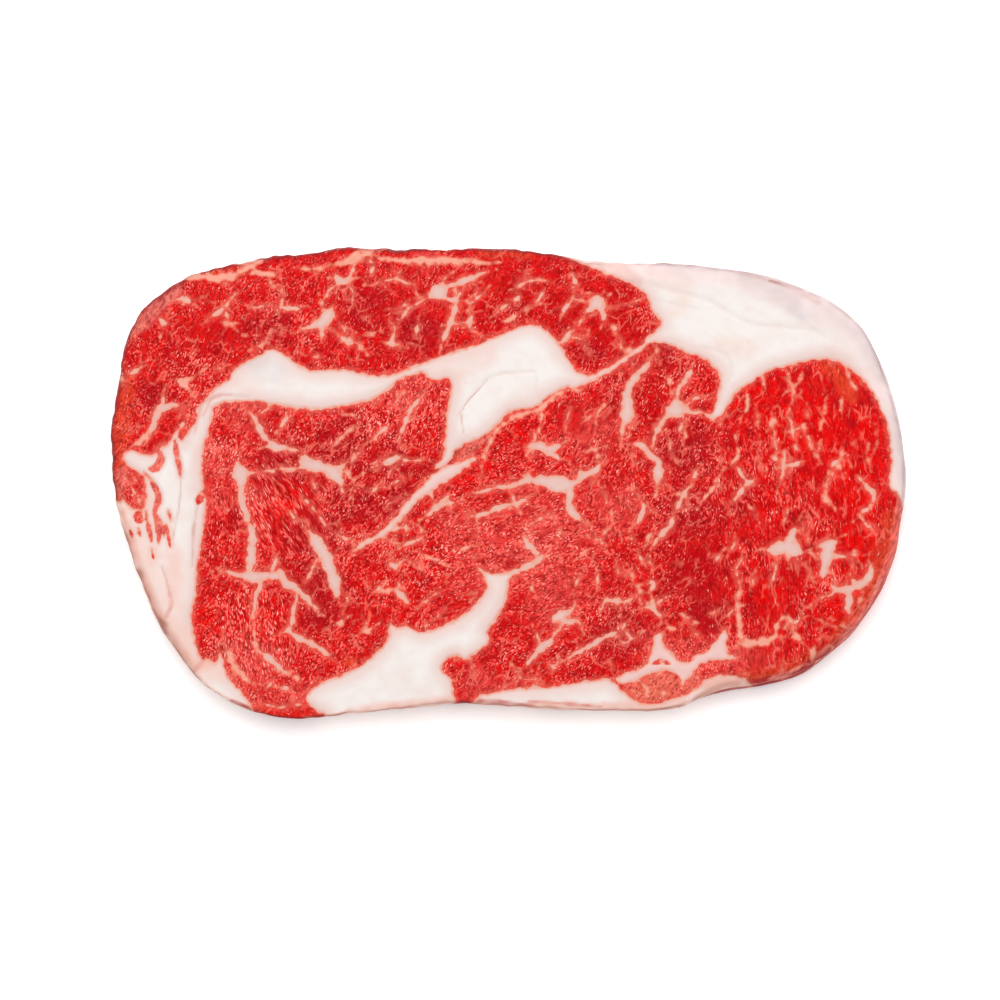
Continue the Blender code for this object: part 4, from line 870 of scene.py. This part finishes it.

# The fat's colour
# White where it is thick, and salmon where it is thin or runs through the lean as a streak. It is
# lilac on the cap's outer rim, partly as painted shade where the cap rounds down, pink at the left
# end, and blood has dried along its upper edge.
FAT, MILK, STREAK_FAT = ink(244, 236, 232), ink(239, 220, 214), ink(228, 178, 168)
# Painted light: the fat's side is coloured lighter than its own colour, so that it shows bright
# although the side gets little light.
LIT_SIDE_FAT, LIT_CAP_SIDE_FAT = ink(288, 240, 226), ink(268, 242, 240)
FAT_STAINS = (
    (ink(226, 204, 204), 0.6, 3.0, (  # the cap's lilac rim: its own tint, and painted shade where the cap rounds down
        (4, (34, 50.6), (44, 50), (54, 48.6), (62, 46.4), (70, 43), (78, 39), (84, 33), (89, 26)),
        (3.5, (92.6, 16), (94, 8), (94.4, 3)),
    )),
    # Grey painted shade on the cap's rounded rim, and on a hump of the fat in the back band.
    (ink(208, 196, 198), 0.5, 2.4, (
        (2.6, (56, 49.2), (61, 46.5), (66, 43.4), (70, 39.4)), (5, (-61, 28.6), (-55.5, 26.4)),
    )),
    (ink(212, 160, 152), 0.55, 0.9, (
        (0.9, (52, 51), (58, 49.8), (64, 48.2), (70, 45.6), (74, 43.6)),
        (2.4, (22, 51.2), (27, 50), (31, 48)),
    )),
    (ink(240, 204, 186), 0.45, 2.4, (  # yellowed
        (3.4, (50, 33), (54, 32.4), (57, 31.4)), (2.4, (-30, 27.8), (-24, 28)),
        (2.2, (-92.4, -4.5), (-91, -8), (-89.4, -12)), (3, (34, 49), (42, 46), (40, 41)),
    )),
    (ink(240, 192, 186), 0.9, 2.2, (  # thin enough for the lean to show through
        (8, (27, -46), (31, -43), (38, -41), (44, -42), (52, -39)), (4, (38, -45), (42, -47)),
        (1.6, (35, 34), (29.5, 30.4), (24, 27.2), (18.6, 24.2)),
        (1.6, (-9, 5), (-20, -2), (-29, -11)), (2.4, (-36, -40), (-30, -36), (-24, -33)),
        (2.4, (12, -26), (8, -33), (-6, -41)),
    )),
    (ink(170, 96, 90), 0.8, 0.3, (  # dried blood along the upper edge
        (0.5, (20, 53.1), (28, 52.3), (36, 52.4)), (0.7, (36.4, 52.6), (39, 52.6)),
        (0.7, (44, 52.1), (47, 51.8)), (0.5, (62, 48.9), (66, 47.9), (70, 46.6)),
        (0.5, (84, 37.2), (88, 31), (91, 23)),
    )),
    (ink(196, 66, 58), 0.9, 0.35, (  # darker red lines along the lower edge
        (1, (-8.5, -51.6), (-2, -52.2), (6, -53.2)), (0.6, (5, -52), (12, -52.4), (22, -53.2)),
        (0.8, (-66, -51.6), (-62, -53.4), (-60, -54.2)),
    )),
    (ink(243, 202, 190), 0.8, 2.0, (
        (9, (-87, -4), (-85, -12), (-83, -20), (-80, -30)), (6, (-80, -33), (-76, -40), (-69, -45)),
    )),
    (ink(238, 168, 146), 0.7, 1.2, (
        (1.6, (-92, -7), (-90.4, -12), (-88, -19), (-85, -27), (-80.4, -36.6), (-74, -44)),
        (1.6, (-70, -43), (-72.4, -43.4)),
        (2.4, (4, -53), (14, -53.4), (26, -53.6), (35, -53), (41, -51.8)),
        (1.4, (46, -48.4), (50, -47.2), (55, -46.8)), (1.2, (-13, -51.4), (-26, -52.8), (-38, -54)),
    )),
    (ink(240, 206, 196), 0.6, 2.5, (
        (5, (-16, 26), (-10, 28.5), (-4, 30.4)), (3, (-64, 24), (-60, 22)),
    )),
    (ink(224, 204, 200), 0.4, 0.5, (  # folds in the cap: painted shade along the creases cut there
        (0.7, *CAP_FOLD), (0.6, *OUTER_FOLD), (0.5, *INNER_FOLD),
        (0.5, (34, 44), (40, 42.6), (45, 41.6)), (0.5, (60, 46), (66, 45.6), (71, 43)),
        (0.4, (6.6, 25.6), (6.9, 24.2)),
    )),
    (ink(206, 150, 138), 0.7, 0.25, (
        (0.3, *SEAM_CRACK), (0.4, (-74.7, -10), (-74.9, -12)), (0.3, *LIP_CRACK),
    )),
    (ink(206, 132, 118), 0.8, 0.2, (
        (0.22, (-11.5, 16.5), (-9.5, 19.6), (-5, 24.5)), (0.25, (-11.2, 16), (-11, 14), (-10.8, 12)),
    )),
    (ink(236, 206, 198), 0.7, 0.25, ((0.3, (-5, 24.5), (-1, 26), (3.6, 26.2), (6.4, 26.3)),)),
    (ink(226, 150, 138), 0.7, 0.3, (
        (0.5, (-72.6, 16), (-70, 20.6), (-66, 21)), (0.4, (-74.6, 12), (-72.6, 19), (-68.6, 20.6)),
        (0.4, (-82.5, -20), (-81.4, -23), (-80.6, -26.5)),
        (0.9, (-80.5, -26.5), (-80.2, -29), (-81.4, -32)), (0.8, *LOW_NICK),
    )),
    (ink(150, 70, 58), 0.85, 0.7, (  # browned nicks in the left edge
        (1.2, (-87.8, -20.6), (-87.2, -23.4)), (1.4, (-84.6, -31), (-82.4, -34), (-81.8, -36.8)),
        (0.9, (-91.4, -12), (-90.6, -14.5), (-89.8, -16.8)), (0.8, (-82.6, -33.8), (-81.6, -33.6)),
    )),
)  # the colour, how much of it shows, how soft its edge is, and each stain's width and line
STAIN_TAPER, STAIN_SIZE = 0.4, 2.9

fat_tint = np.tile(FAT, (len(place), 1))
# It is a little milky in clouds, whiter the deeper it goes, and creamy on the side, where it is also
# painted lighter than its own colour as painted light on the dimly lit side.
milk = wave(place, 9.0, 31.0) + 0.5 * wave(place, 3.5, 37.0)
fat_tint = toward(fat_tint, MILK, 0.6 * smooth_step(milk, -0.1, 0.9))
whiteness = 0.5 * smooth_step(hard, -0.2, 1.3) + 0.5 * smooth_step(hard, 0.6, 4.8)
whiteness = np.maximum(whiteness, 0.2 * smooth_step(bold, 0.4, 1.4))
fat_tint = toward(STREAK_FAT, fat_tint, whiteness)
at_cap = smooth_step(plan @ (0.7, 0.7), 40, 66)
fat_tint = toward(fat_tint, toward(LIT_SIDE_FAT, LIT_CAP_SIDE_FAT, at_cap), 0.9 * side)
for colour, strength, softness, lines in FAT_STAINS:
    stain = smooth_step(band_depth(lines, STAIN_TAPER), -softness, softness / 2)
    uneven = (0.8 + 0.5 * wave(place, STAIN_SIZE, strength * 20)).clip(0, 1)
    fat_tint = toward(fat_tint, colour, strength * uneven * stain)

# The skin on the side
# Over the lean it has dried to a dark red, and over the fat to brown. At the lower right it is a
# membrane that lies in long folds, which are painted light and shade only: painted shade between
# them, and a painted highlight, nearly the colour of fat, on top.
SKIN, DARK_SKIN, WORN_SKIN = ink(156, 16, 20), ink(92, 8, 14), ink(206, 66, 54)
# The pale membrane at the lower right is painted lighter than its own colour, as painted light on the
# dimly lit side.
MEMBRANE, LIT_PALE_MEMBRANE = ink(188, 34, 36), ink(286, 124, 104)
# Painted highlight on the folds' tops and painted shade between them.
LIT_FOLD_TOP, SHADED_FOLD_HOLLOW = ink(286, 180, 164), ink(142, 22, 38)
UNDERFOLD_FAT, DRIED_FAT = ink(190, 74, 76), ink(226, 146, 120)
RIM_LINE, CAP_RIM_LINE = ink(176, 104, 92), ink(186, 158, 164)
SKIN_SHARE = 0.92

folded = smooth_step(plan @ (0.7, -0.7), 52, 64)  # where the membrane is
at_right = folded * smooth_step(plan[:, 0], 72, 86)
depth_below = THICKNESS - height
outer = smooth_step(side + 0.1 * folded, 0.55 + 0.1 * folded, 0.97 - 0.2 * folded)
# How thick the skin has dried in places, and the membrane's folds, painted lit on top and shaded
# between.
film = wave_in(solid * (1, 1, 0.45), 7.0, 41.0) + 0.6 * wave_in(solid * (1, 1, 0.6), 2.2, 43.0)
folds = wave_in(solid * (0.6, 0.6, 1.8), 6.0, 47.0) + 0.4 * wave_in(solid * (0.5, 0.5, 2), 2.6, 3.0)
# Painted shade between the folds, from a few millimetres below the top downward.
between = folded * (1 - 0.6 * at_right) * smooth_step(depth_below, 2, 6)

skin = np.tile(SKIN, (len(place), 1))
for colour, share in (
    (DARK_SKIN, 0.8 * smooth_step(-film, 0, 0.7)),
    (WORN_SKIN, (1 - folded) * smooth_step(film, 0.4, 1.3)),
    (MEMBRANE, folded),
    (LIT_PALE_MEMBRANE, at_right),
    (LIT_FOLD_TOP, 0.8 * folded * smooth_step(folds, 0, 0.4)),
    (SHADED_FOLD_HOLLOW, between * smooth_step(-folds, -0.1, 0.3)),
):
    skin = toward(skin, colour, share)
lean_tint = toward(lean_tint, skin, SKIN_SHARE * outer)

# The fat's side under the fold of the membrane, the rest of it, and the line under its rim.
underfold = side * smooth_step(plan[:, 0], 43, 50) * smooth_step(-plan[:, 1], 20, 30)
dried = outer * smooth_step(film + 0.5 - 0.9 * at_cap, 0, 0.8)
under_rim = smooth_step(height + 3 * at_cap, THICKNESS - 6, THICKNESS - 3)
rim_line = smooth_step(side, 0.8, 0.97) * under_rim * smooth_step(film, -0.7, 0.3) * (1 - underfold)
for colour, share in (
    (UNDERFOLD_FAT, underfold * smooth_step(depth_below, 4, 10)),
    (DRIED_FAT, (0.5 - 0.32 * at_cap) * dried),
    (toward(RIM_LINE, CAP_RIM_LINE, at_cap), (0.75 - 0.2 * at_cap) * rim_line),
):
    fat_tint = toward(fat_tint, colour, share)

# The fibres
# They run a different way in each muscle, and at the rest angle where no region says another.
# Flecks of fat as fine as hair lie among them, many in some places and few in others.
REST_ANGLE = 62
FIBRE_REGIONS = (
    (30, ((0, -5, 17), (-8, -24, 13), (14, -20, 13), (8, -38, 10))),
    (95, ((70, -4, 24), (60, -30, 16), (-60, -36, 12), (-67, -8, 7), (80, 18, 14))),
    (118, ((-53, -8, 10), (-56, 2, 6))),
)  # the angle, and each region's x, y and reach
FLECKED = (
    (-62, -42, 10), (-66, -30, 5), (-13, -14, 8), (75.5, -23.5, 3), (44, -43, 7),
    (-74, 24, 7), (-15, 20, 7), (-28, 15, 8), (-69, 8, 6), (-61, -3, 6), (8, -16, 9),
)
CALM = (
    (72, 12, 12), (79, 20, 10), (84, 4, 9), (84, -13, 9), (46, -34, 6), (68, -20, 7),
    (62, 20, 7), (46, -20, 8), (62, -28, 6), (2, 45, 9), (20, 44, 8), (-14, 37, 7),
    (-28, 38, 7), (-4, 54, 5), (-36, 53, 5), (-69, 36, 7), (-82, 13, 7), (20, 13, 6),
    (-20, 29, 6), (-21, -3, 6), (-46, -26, 6), (26, 34, 7), (-71, -33, 4), (-52, -55, 4),
    (62, -45, 6), (80, -34, 6),
)  # where flecks are many, and where they are few: x, y and reach
FLECKS_ALL_OVER, MORE_FLECKS, FEWER_FLECKS = 0.4, 0.6, 0.45
PATCHINESS, PATCH_SIZE = 0.35, 8.0
ways = np.stack([
    np.max([nearness(*region, power=2) for region in regions], axis=0)
    for _, regions in FIBRE_REGIONS
], axis=1)
ways /= np.maximum(ways.sum(axis=1), 1)[:, None]
fleck = np.full(len(place), FLECKS_ALL_OVER)
for flecked in FLECKED:
    fleck += MORE_FLECKS * nearness(*flecked)
for calm in CALM:
    fleck -= FEWER_FLECKS * nearness(*calm)
fleck += PATCHINESS * wave(place, PATCH_SIZE, 53.0)
fleck -= (fleck + 0.3) * (0.5 + 0.5 * folded) * side


def give(name, kind, values):
    """Stores a value at each of the mesh's points, for the material to read."""
    field = "vector" if kind == "FLOAT_VECTOR" else "value"
    mesh.attributes.new(name, kind, "POINT").data.foreach_set(field, np.ravel(values))


for name, values in (("fat", fat), ("faint", faint), ("fleck", fleck)):
    give(name, "FLOAT", values)
for name, values in (("lean_tint", lean_tint), ("fat_tint", fat_tint), ("ways", ways)):
    give(name, "FLOAT_VECTOR", values)

# The pattern's map
# The top face lies above, the underside below it at half the scale, and the side is a strip
# along the bottom.
MAP_EDGE = 0.01
MAP_SCALE = (1 - 2 * MAP_EDGE) / LENGTH
TOP_MAP_MIDDLE, UNDER_MAP_MIDDLE = (0.5, 0.69), (0.26, 0.23)
STRIP_HEIGHT = 0.055
TOP_MAP_FROM = len(levels) - TOP_STEPS + 1  # what lies above this level is mapped with the top
corner_point = np.zeros(len(mesh.loops), int)
mesh.loops.foreach_get("vertex_index", corner_point)
spots = plan[corner_point] * MAP_SCALE + TOP_MAP_MIDDLE
side_corners = side_face_count * 4
under_corners = sum(len(face) for face in under_faces)
spots[-under_corners:] = plan[corner_point[-under_corners:]] * MAP_SCALE / 2 + UNDER_MAP_MIDDLE
level_of = np.repeat(np.arange(side_face_count) // EDGE_COUNT, 4)
ring_of = np.repeat(np.arange(side_face_count) % EDGE_COUNT, 4)
on = np.tile((0, 1, 1, 0), side_face_count)
up = np.tile((0, 0, 1, 1), side_face_count)
strip = np.column_stack([
    MAP_EDGE + (1 - 2 * MAP_EDGE) * (ring_of + on) / EDGE_COUNT,
    MAP_EDGE + STRIP_HEIGHT * (level_of + up) / TOP_MAP_FROM,
])
in_strip = level_of < TOP_MAP_FROM
spots[:side_corners][in_strip] = strip[in_strip]
mesh.uv_layers.new(name="OFBake").uv.foreach_set("vector", spots.ravel())

# The raw beef
# One wet surface of red lean and white fat. What each place holds comes from the mesh, and the
# grain finer than that is made here, its sizes in millimetres.
beef = bpy.data.materials.new("raw_beef")
beef.use_nodes = True
tree = beef.node_tree
shader = tree.nodes["Principled BSDF"]


def put(kind, *feeds, **settings):
    """Adds a node, feeds its inputs in turn with numbers or other nodes' outputs, and gives
    its first output."""
    node = tree.nodes.new("ShaderNode" + kind)
    for name, value in settings.items():
        setattr(node, name, value)
    for socket, feed in zip(node.inputs, feeds):
        if isinstance(feed, bpy.types.NodeSocket):
            tree.links.new(feed, socket)
        elif feed is not None:
            socket.default_value = feed
    return node.outputs[0]


def plus(value, other):
    return put("Math", value, other, operation="ADD")


def minus(value, other):
    return put("Math", value, other, operation="SUBTRACT")


def times(value, other):
    return put("Math", value, other, operation="MULTIPLY")


def rise(value, low, high, to_low=0.0, to_high=1.0):
    """Maps a value's range to another with soft ends."""
    return put("MapRange", value, low, high, to_low, to_high, interpolation_type="SMOOTHSTEP")


def blend(share, under, over):
    """Lays one colour over another by a share."""
    colours = [(*c, 1) if isinstance(c, (tuple, np.ndarray)) else c for c in (under, over)]
    return put("MixRGB", share, *colours)


def read(name):
    """What the mesh holds under a name: a number, or a colour for tints and ways."""
    node = tree.nodes.new("ShaderNodeAttribute")
    node.attribute_name = name
    return node.outputs["Color" if name in ("lean_tint", "fat_tint", "ways") else "Fac"]


spot = tree.nodes.new("ShaderNodeTexCoord").outputs["Object"]


def shifted(by, reach, where=spot):
    """A place on the steak, moved about by noise of this size as far as reach."""
    noise_there = put("TexNoise", where, None, 1 / (by * MM), 0.0).node.outputs["Color"]
    middle = put("VectorMath", noise_there, (0.5, 0.5, 0.5), operation="SUBTRACT")
    step = put("VectorMath", middle, (2 * reach * MM,) * 3, operation="MULTIPLY")
    return put("VectorMath", where, step, operation="ADD")


def laid(where, sizes, angle=0.0, shift=0.0):
    """A place in a pattern whose grains have the given length, width and depth, at an angle."""
    return put(
        "Mapping", where, (shift, shift * 0.7, 0), (0, 0, math.radians(angle)),
        [size * MM for size in sizes], vector_type="TEXTURE",
    )


def grain(sizes, detail=0.0, shift=0.0, where=spot, angle=0.0):
    """Noise whose grains have the given length, width and depth."""
    return put("TexNoise", laid(where, sizes, angle, shift), None, 1.0, detail)


# The place on the steak, wavy and turned so that its +X runs along the muscle's fibres.
IN_WAY = 0.5  # a place belongs to a way of the fibres from this share on
DRAWN_OUT = ((2, 0.6), (1, 0.3))  # the ways whose grain is drawn out, and how far
ways_read = put("SeparateXYZ", read("ways")).node.outputs
turned = math.radians(REST_ANGLE)
for (angle, _), way_share in zip(FIBRE_REGIONS, ways_read):
    here = put("Math", way_share, IN_WAY, operation="GREATER_THAN")
    turned = plus(turned, times(here, math.radians(angle - REST_ANGLE)))
along = put("VectorRotate", shifted(2.6, 0.5), (0, 0, 0), (0, 0, 1), times(turned, -1.0))
stretch = 1.0
for way, share in DRAWN_OUT:
    here = put("Math", ways_read[way], IN_WAY, operation="GREATER_THAN")
    stretch = minus(stretch, times(here, share))
along = put("VectorMath", along, put("CombineXYZ", stretch, 1.0, 1.0), operation="MULTIPLY")

# Where the fat ends, a little ragged at the scale of the fibres.
ragged = plus(grain((1.7, 1.7, 3)), times(grain((0.6, 0.6, 2)), 0.3))
ragged = times(minus(ragged, 0.65), 1.05)
fat_place = plus(read("fat"), minus(ragged, 0.08))
fat_share = rise(fat_place, -0.10, 0.14)
halo_place = plus(fat_place, times(grain((1.5, 1.1, 3), 1, 0.12), 1.8))
faint_place = plus(read("faint"), times(ragged, 1.4))

# The lean's grain: dark fibres and the gaps between them, partly painted shade, bundles parted by pale
# veins, bright specks painted as the glints of wet meat, and flecks of fat drawn out by the fibres,
# which also stand in for its glisten as painted highlights.
fibres = grain((1.8, 0.7, 6), 2, 0.013, along)
dark = times(rise(fibres, 0.54, 0.36), rise(read("fleck"), -0.3, 0.3, 0.46, 0.62))
mottle = rise(grain((3.4, 2.2, 4), 2, 0.094, along), 0.58, 0.40)
busy = rise(grain((3.0, 2.0, 5), 1, 0.083, along), 0.36, 0.60, 0.15, 1.45)
busy = times(busy, rise(read("fleck"), -0.1, 0.9, 0.2, 1.35))
# The gaps are dark partly by their own colour and partly as painted shade in the hollows between the
# fibres.
shaded_gaps = rise(grain((0.8, 0.4, 4), 0, 0.029, along), 0.45, 0.28)
shaded_gaps = times(shaded_gaps, put("Math", busy, 0.9, operation="MINIMUM"))
# Painted highlights: bright specks stand in for the glints of the wet surface, and they also raise the
# bump.
glint_specks = times(rise(grain((0.6, 0.45, 1.5), 2, 0.05, along), 0.47, 0.68), busy)
cells = put("TexVoronoi", laid(shifted(1.3, 0.5, along), (4.6, 2.2, 9)), None, 1.0,
            feature="DISTANCE_TO_EDGE")
veins = rise(cells.node.outputs["Distance"], 0.10, 0.01)
veins = times(veins, rise(grain((4.2, 4.2, 8), 1, 0.027), 0.48, 0.64))
density = plus(times(grain((3.4, 3.4, 6), 1, 0.061), 0.42), times(read("fleck"), 0.13))
# The pale flecks are fat, and they also stand in for the wet glisten as painted highlights.
fat_flecks_and_glints = rise(plus(grain((0.75, 0.30, 4), 0, 0, along), density), 0.95, 1.14)
lean = read("lean_tint")
for share, colour in (
    (times(mottle, 0.36), ink(186, 14, 18)),
    (dark, ink(142, 11, 15)),
    (times(shaded_gaps, 0.74), ink(128, 12, 16)),
    (times(glint_specks, 0.6), ink(286, 120, 108)),
    (times(veins, 0.5), ink(256, 132, 112)),
    (rise(halo_place, -0.4, 1.1, 0.0, 0.48), ink(240, 112, 96)),
    (rise(faint_place, -0.45, 0.35, 0, 0.7), ink(243, 128, 104)),
    (rise(faint_place, 0.0, 0.6, 0, 0.7), ink(247, 182, 160)),
    (fat_flecks_and_glints, ink(276, 176, 162)),
):
    lean = blend(share, lean, colour)

# The fat's: red and salmon where it is thin, then its own tint with faint clouds, and faint darker
# lines painted as the shade of wrinkles.
clouds = rise(grain((2.6, 2.6, 4), 3, 0.04), 0.45, 0.7)
wrinkle_shade = rise(grain((12, 3, 6), 2, 0.07, shifted(9, 3), -28), 0.50, 0.72)
fat_colour = ink(240, 132, 108)
for share, colour in (
    (rise(fat_place, -0.05, 0.35), ink(237, 166, 147)),
    (rise(fat_place, 0.1, 0.9), read("fat_tint")),
    (times(clouds, 0.2), ink(236, 208, 198)),
    (times(wrinkle_shade, 0.12), ink(232, 198, 190)),
):
    fat_colour = blend(share, fat_colour, colour)
tree.links.new(blend(fat_share, lean, fat_colour), shader.inputs["Base Color"])

LEAN_ROUGHNESS, FAT_ROUGHNESS = 0.34, 0.45
WET_COAT, COAT_ROUGHNESS = 0.1, 0.22
FIBRE_RELIEF = 0.3 * MM
rough = blend(fat_share, (LEAN_ROUGHNESS,) * 3, (FAT_ROUGHNESS,) * 3)
tree.links.new(rough, shader.inputs["Roughness"])
shader.inputs["Specular IOR Level"].default_value = 0.0
shader.inputs["Coat Weight"].default_value = WET_COAT
shader.inputs["Coat Roughness"].default_value = COAT_ROUGHNESS
relief = plus(times(fibres, 0.7), times(glint_specks, 0.25))
relief = times(relief, minus(1.0, times(fat_share, 0.8)))
bump = put("Bump", 0.5, FIBRE_RELIEF)
tree.links.new(relief, bump.node.inputs["Height"])
tree.links.new(bump, shader.inputs["Normal"])
tree.links.new(bump, shader.inputs["Coat Normal"])

mesh.materials.append(beef)
steak = bpy.data.objects.new("steak", mesh)
bpy.context.scene.collection.objects.link(steak)
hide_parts("ribeye_steak")
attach(steak, "root")

# The table
# A smooth white board that the steak lies on; it isn't part of the steak.
TABLE_HALF = 5.0
TABLE_DROP = 0.05 * MM
BOARD_WHITE, BOARD_ROUGHNESS, BOARD_GLOSS = 0.95, 0.8, 0.1
BOARD_GLOW = 0.26
table_mesh = bpy.data.meshes.new("table")
table_mesh.from_pydata(
    [(x * TABLE_HALF, y * TABLE_HALF, -TABLE_DROP) for x, y in ((-1, -1), (1, -1), (1, 1), (-1, 1))],
    [], [(0, 1, 2, 3)],
)
board = bpy.data.materials.new("white_board")
board.use_nodes = True
paint = board.node_tree.nodes["Principled BSDF"]
for name, value in (
    ("Base Color", (BOARD_WHITE, BOARD_WHITE, BOARD_WHITE, 1)),
    ("Roughness", BOARD_ROUGHNESS),
    ("Specular IOR Level", BOARD_GLOSS),
    ("Emission Color", (1, 1, 1, 1)),
    ("Emission Strength", BOARD_GLOW),
):
    paint.inputs[name].default_value = value
table_mesh.materials.append(board)
table = bpy.data.objects.new("table", table_mesh)
bpy.context.scene.collection.objects.link(table)
table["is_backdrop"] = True

# The light
# One soft lamp almost overhead, hidden from mirrors so that the wet meat keeps its colour, and
# three weaker ones beyond the steak and at its sides that make it glisten, in a room of even
# white light.
LAMPS = (
    ("overhead", (0.0, 0.25, 1.6), 0.6, 20.0, False),
    ("back", (-0.2, 0.95, 1.4), 0.8, 9.0, True),
    ("left", (-1.1, 0.1, 1.3), 1.0, 4.0, True),
    ("right", (1.1, 0.1, 1.3), 1.0, 4.0, True),
)  # the name, place, size and power of each, and whether it shows in mirrors
ROOM_LIGHT = 0.29
for name, place_of, size, power, mirrored in LAMPS:
    light = bpy.data.lights.new(name, "AREA")
    light.size = size
    light.energy = power
    lamp = bpy.data.objects.new(name, light)
    lamp.location = place_of
    lamp.rotation_euler = (-Vector(place_of)).to_track_quat("-Z", "Y").to_euler()
    lamp.visible_glossy = mirrored
    bpy.context.scene.collection.objects.link(lamp)
room = bpy.data.worlds.new("room")
room.use_nodes = True
room.node_tree.nodes["Background"].inputs["Color"].default_value = (1, 1, 1, 1)
room.node_tree.nodes["Background"].inputs["Strength"].default_value = ROOM_LIGHT
bpy.context.scene.world = room
bpy.context.scene.view_settings.view_transform = "Standard"

# The camera
# Straight above, far off behind a long lens, so that the side shows only where it leans out.
FRAME_WIDTH = 238.1 * MM  # what the picture is wide, at the height in focus
FRAME_MIDDLE = (-2.0 * MM, -4.05 * MM)
FOCUS_HEIGHT = 21 * MM
lens = bpy.data.cameras.new("camera")
lens.lens = 400
lens.sensor_width = 36
lens.clip_end = 30
camera = bpy.data.objects.new("camera", lens)
camera.location = (*FRAME_MIDDLE, FOCUS_HEIGHT + FRAME_WIDTH * lens.lens / lens.sensor_width)
bpy.context.scene.collection.objects.link(camera)
bpy.context.scene.camera = camera

sizes = {name: [list(corner) for corner in box] for name, box in (
    ("cad", cad_box), ("visual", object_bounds()),
)}
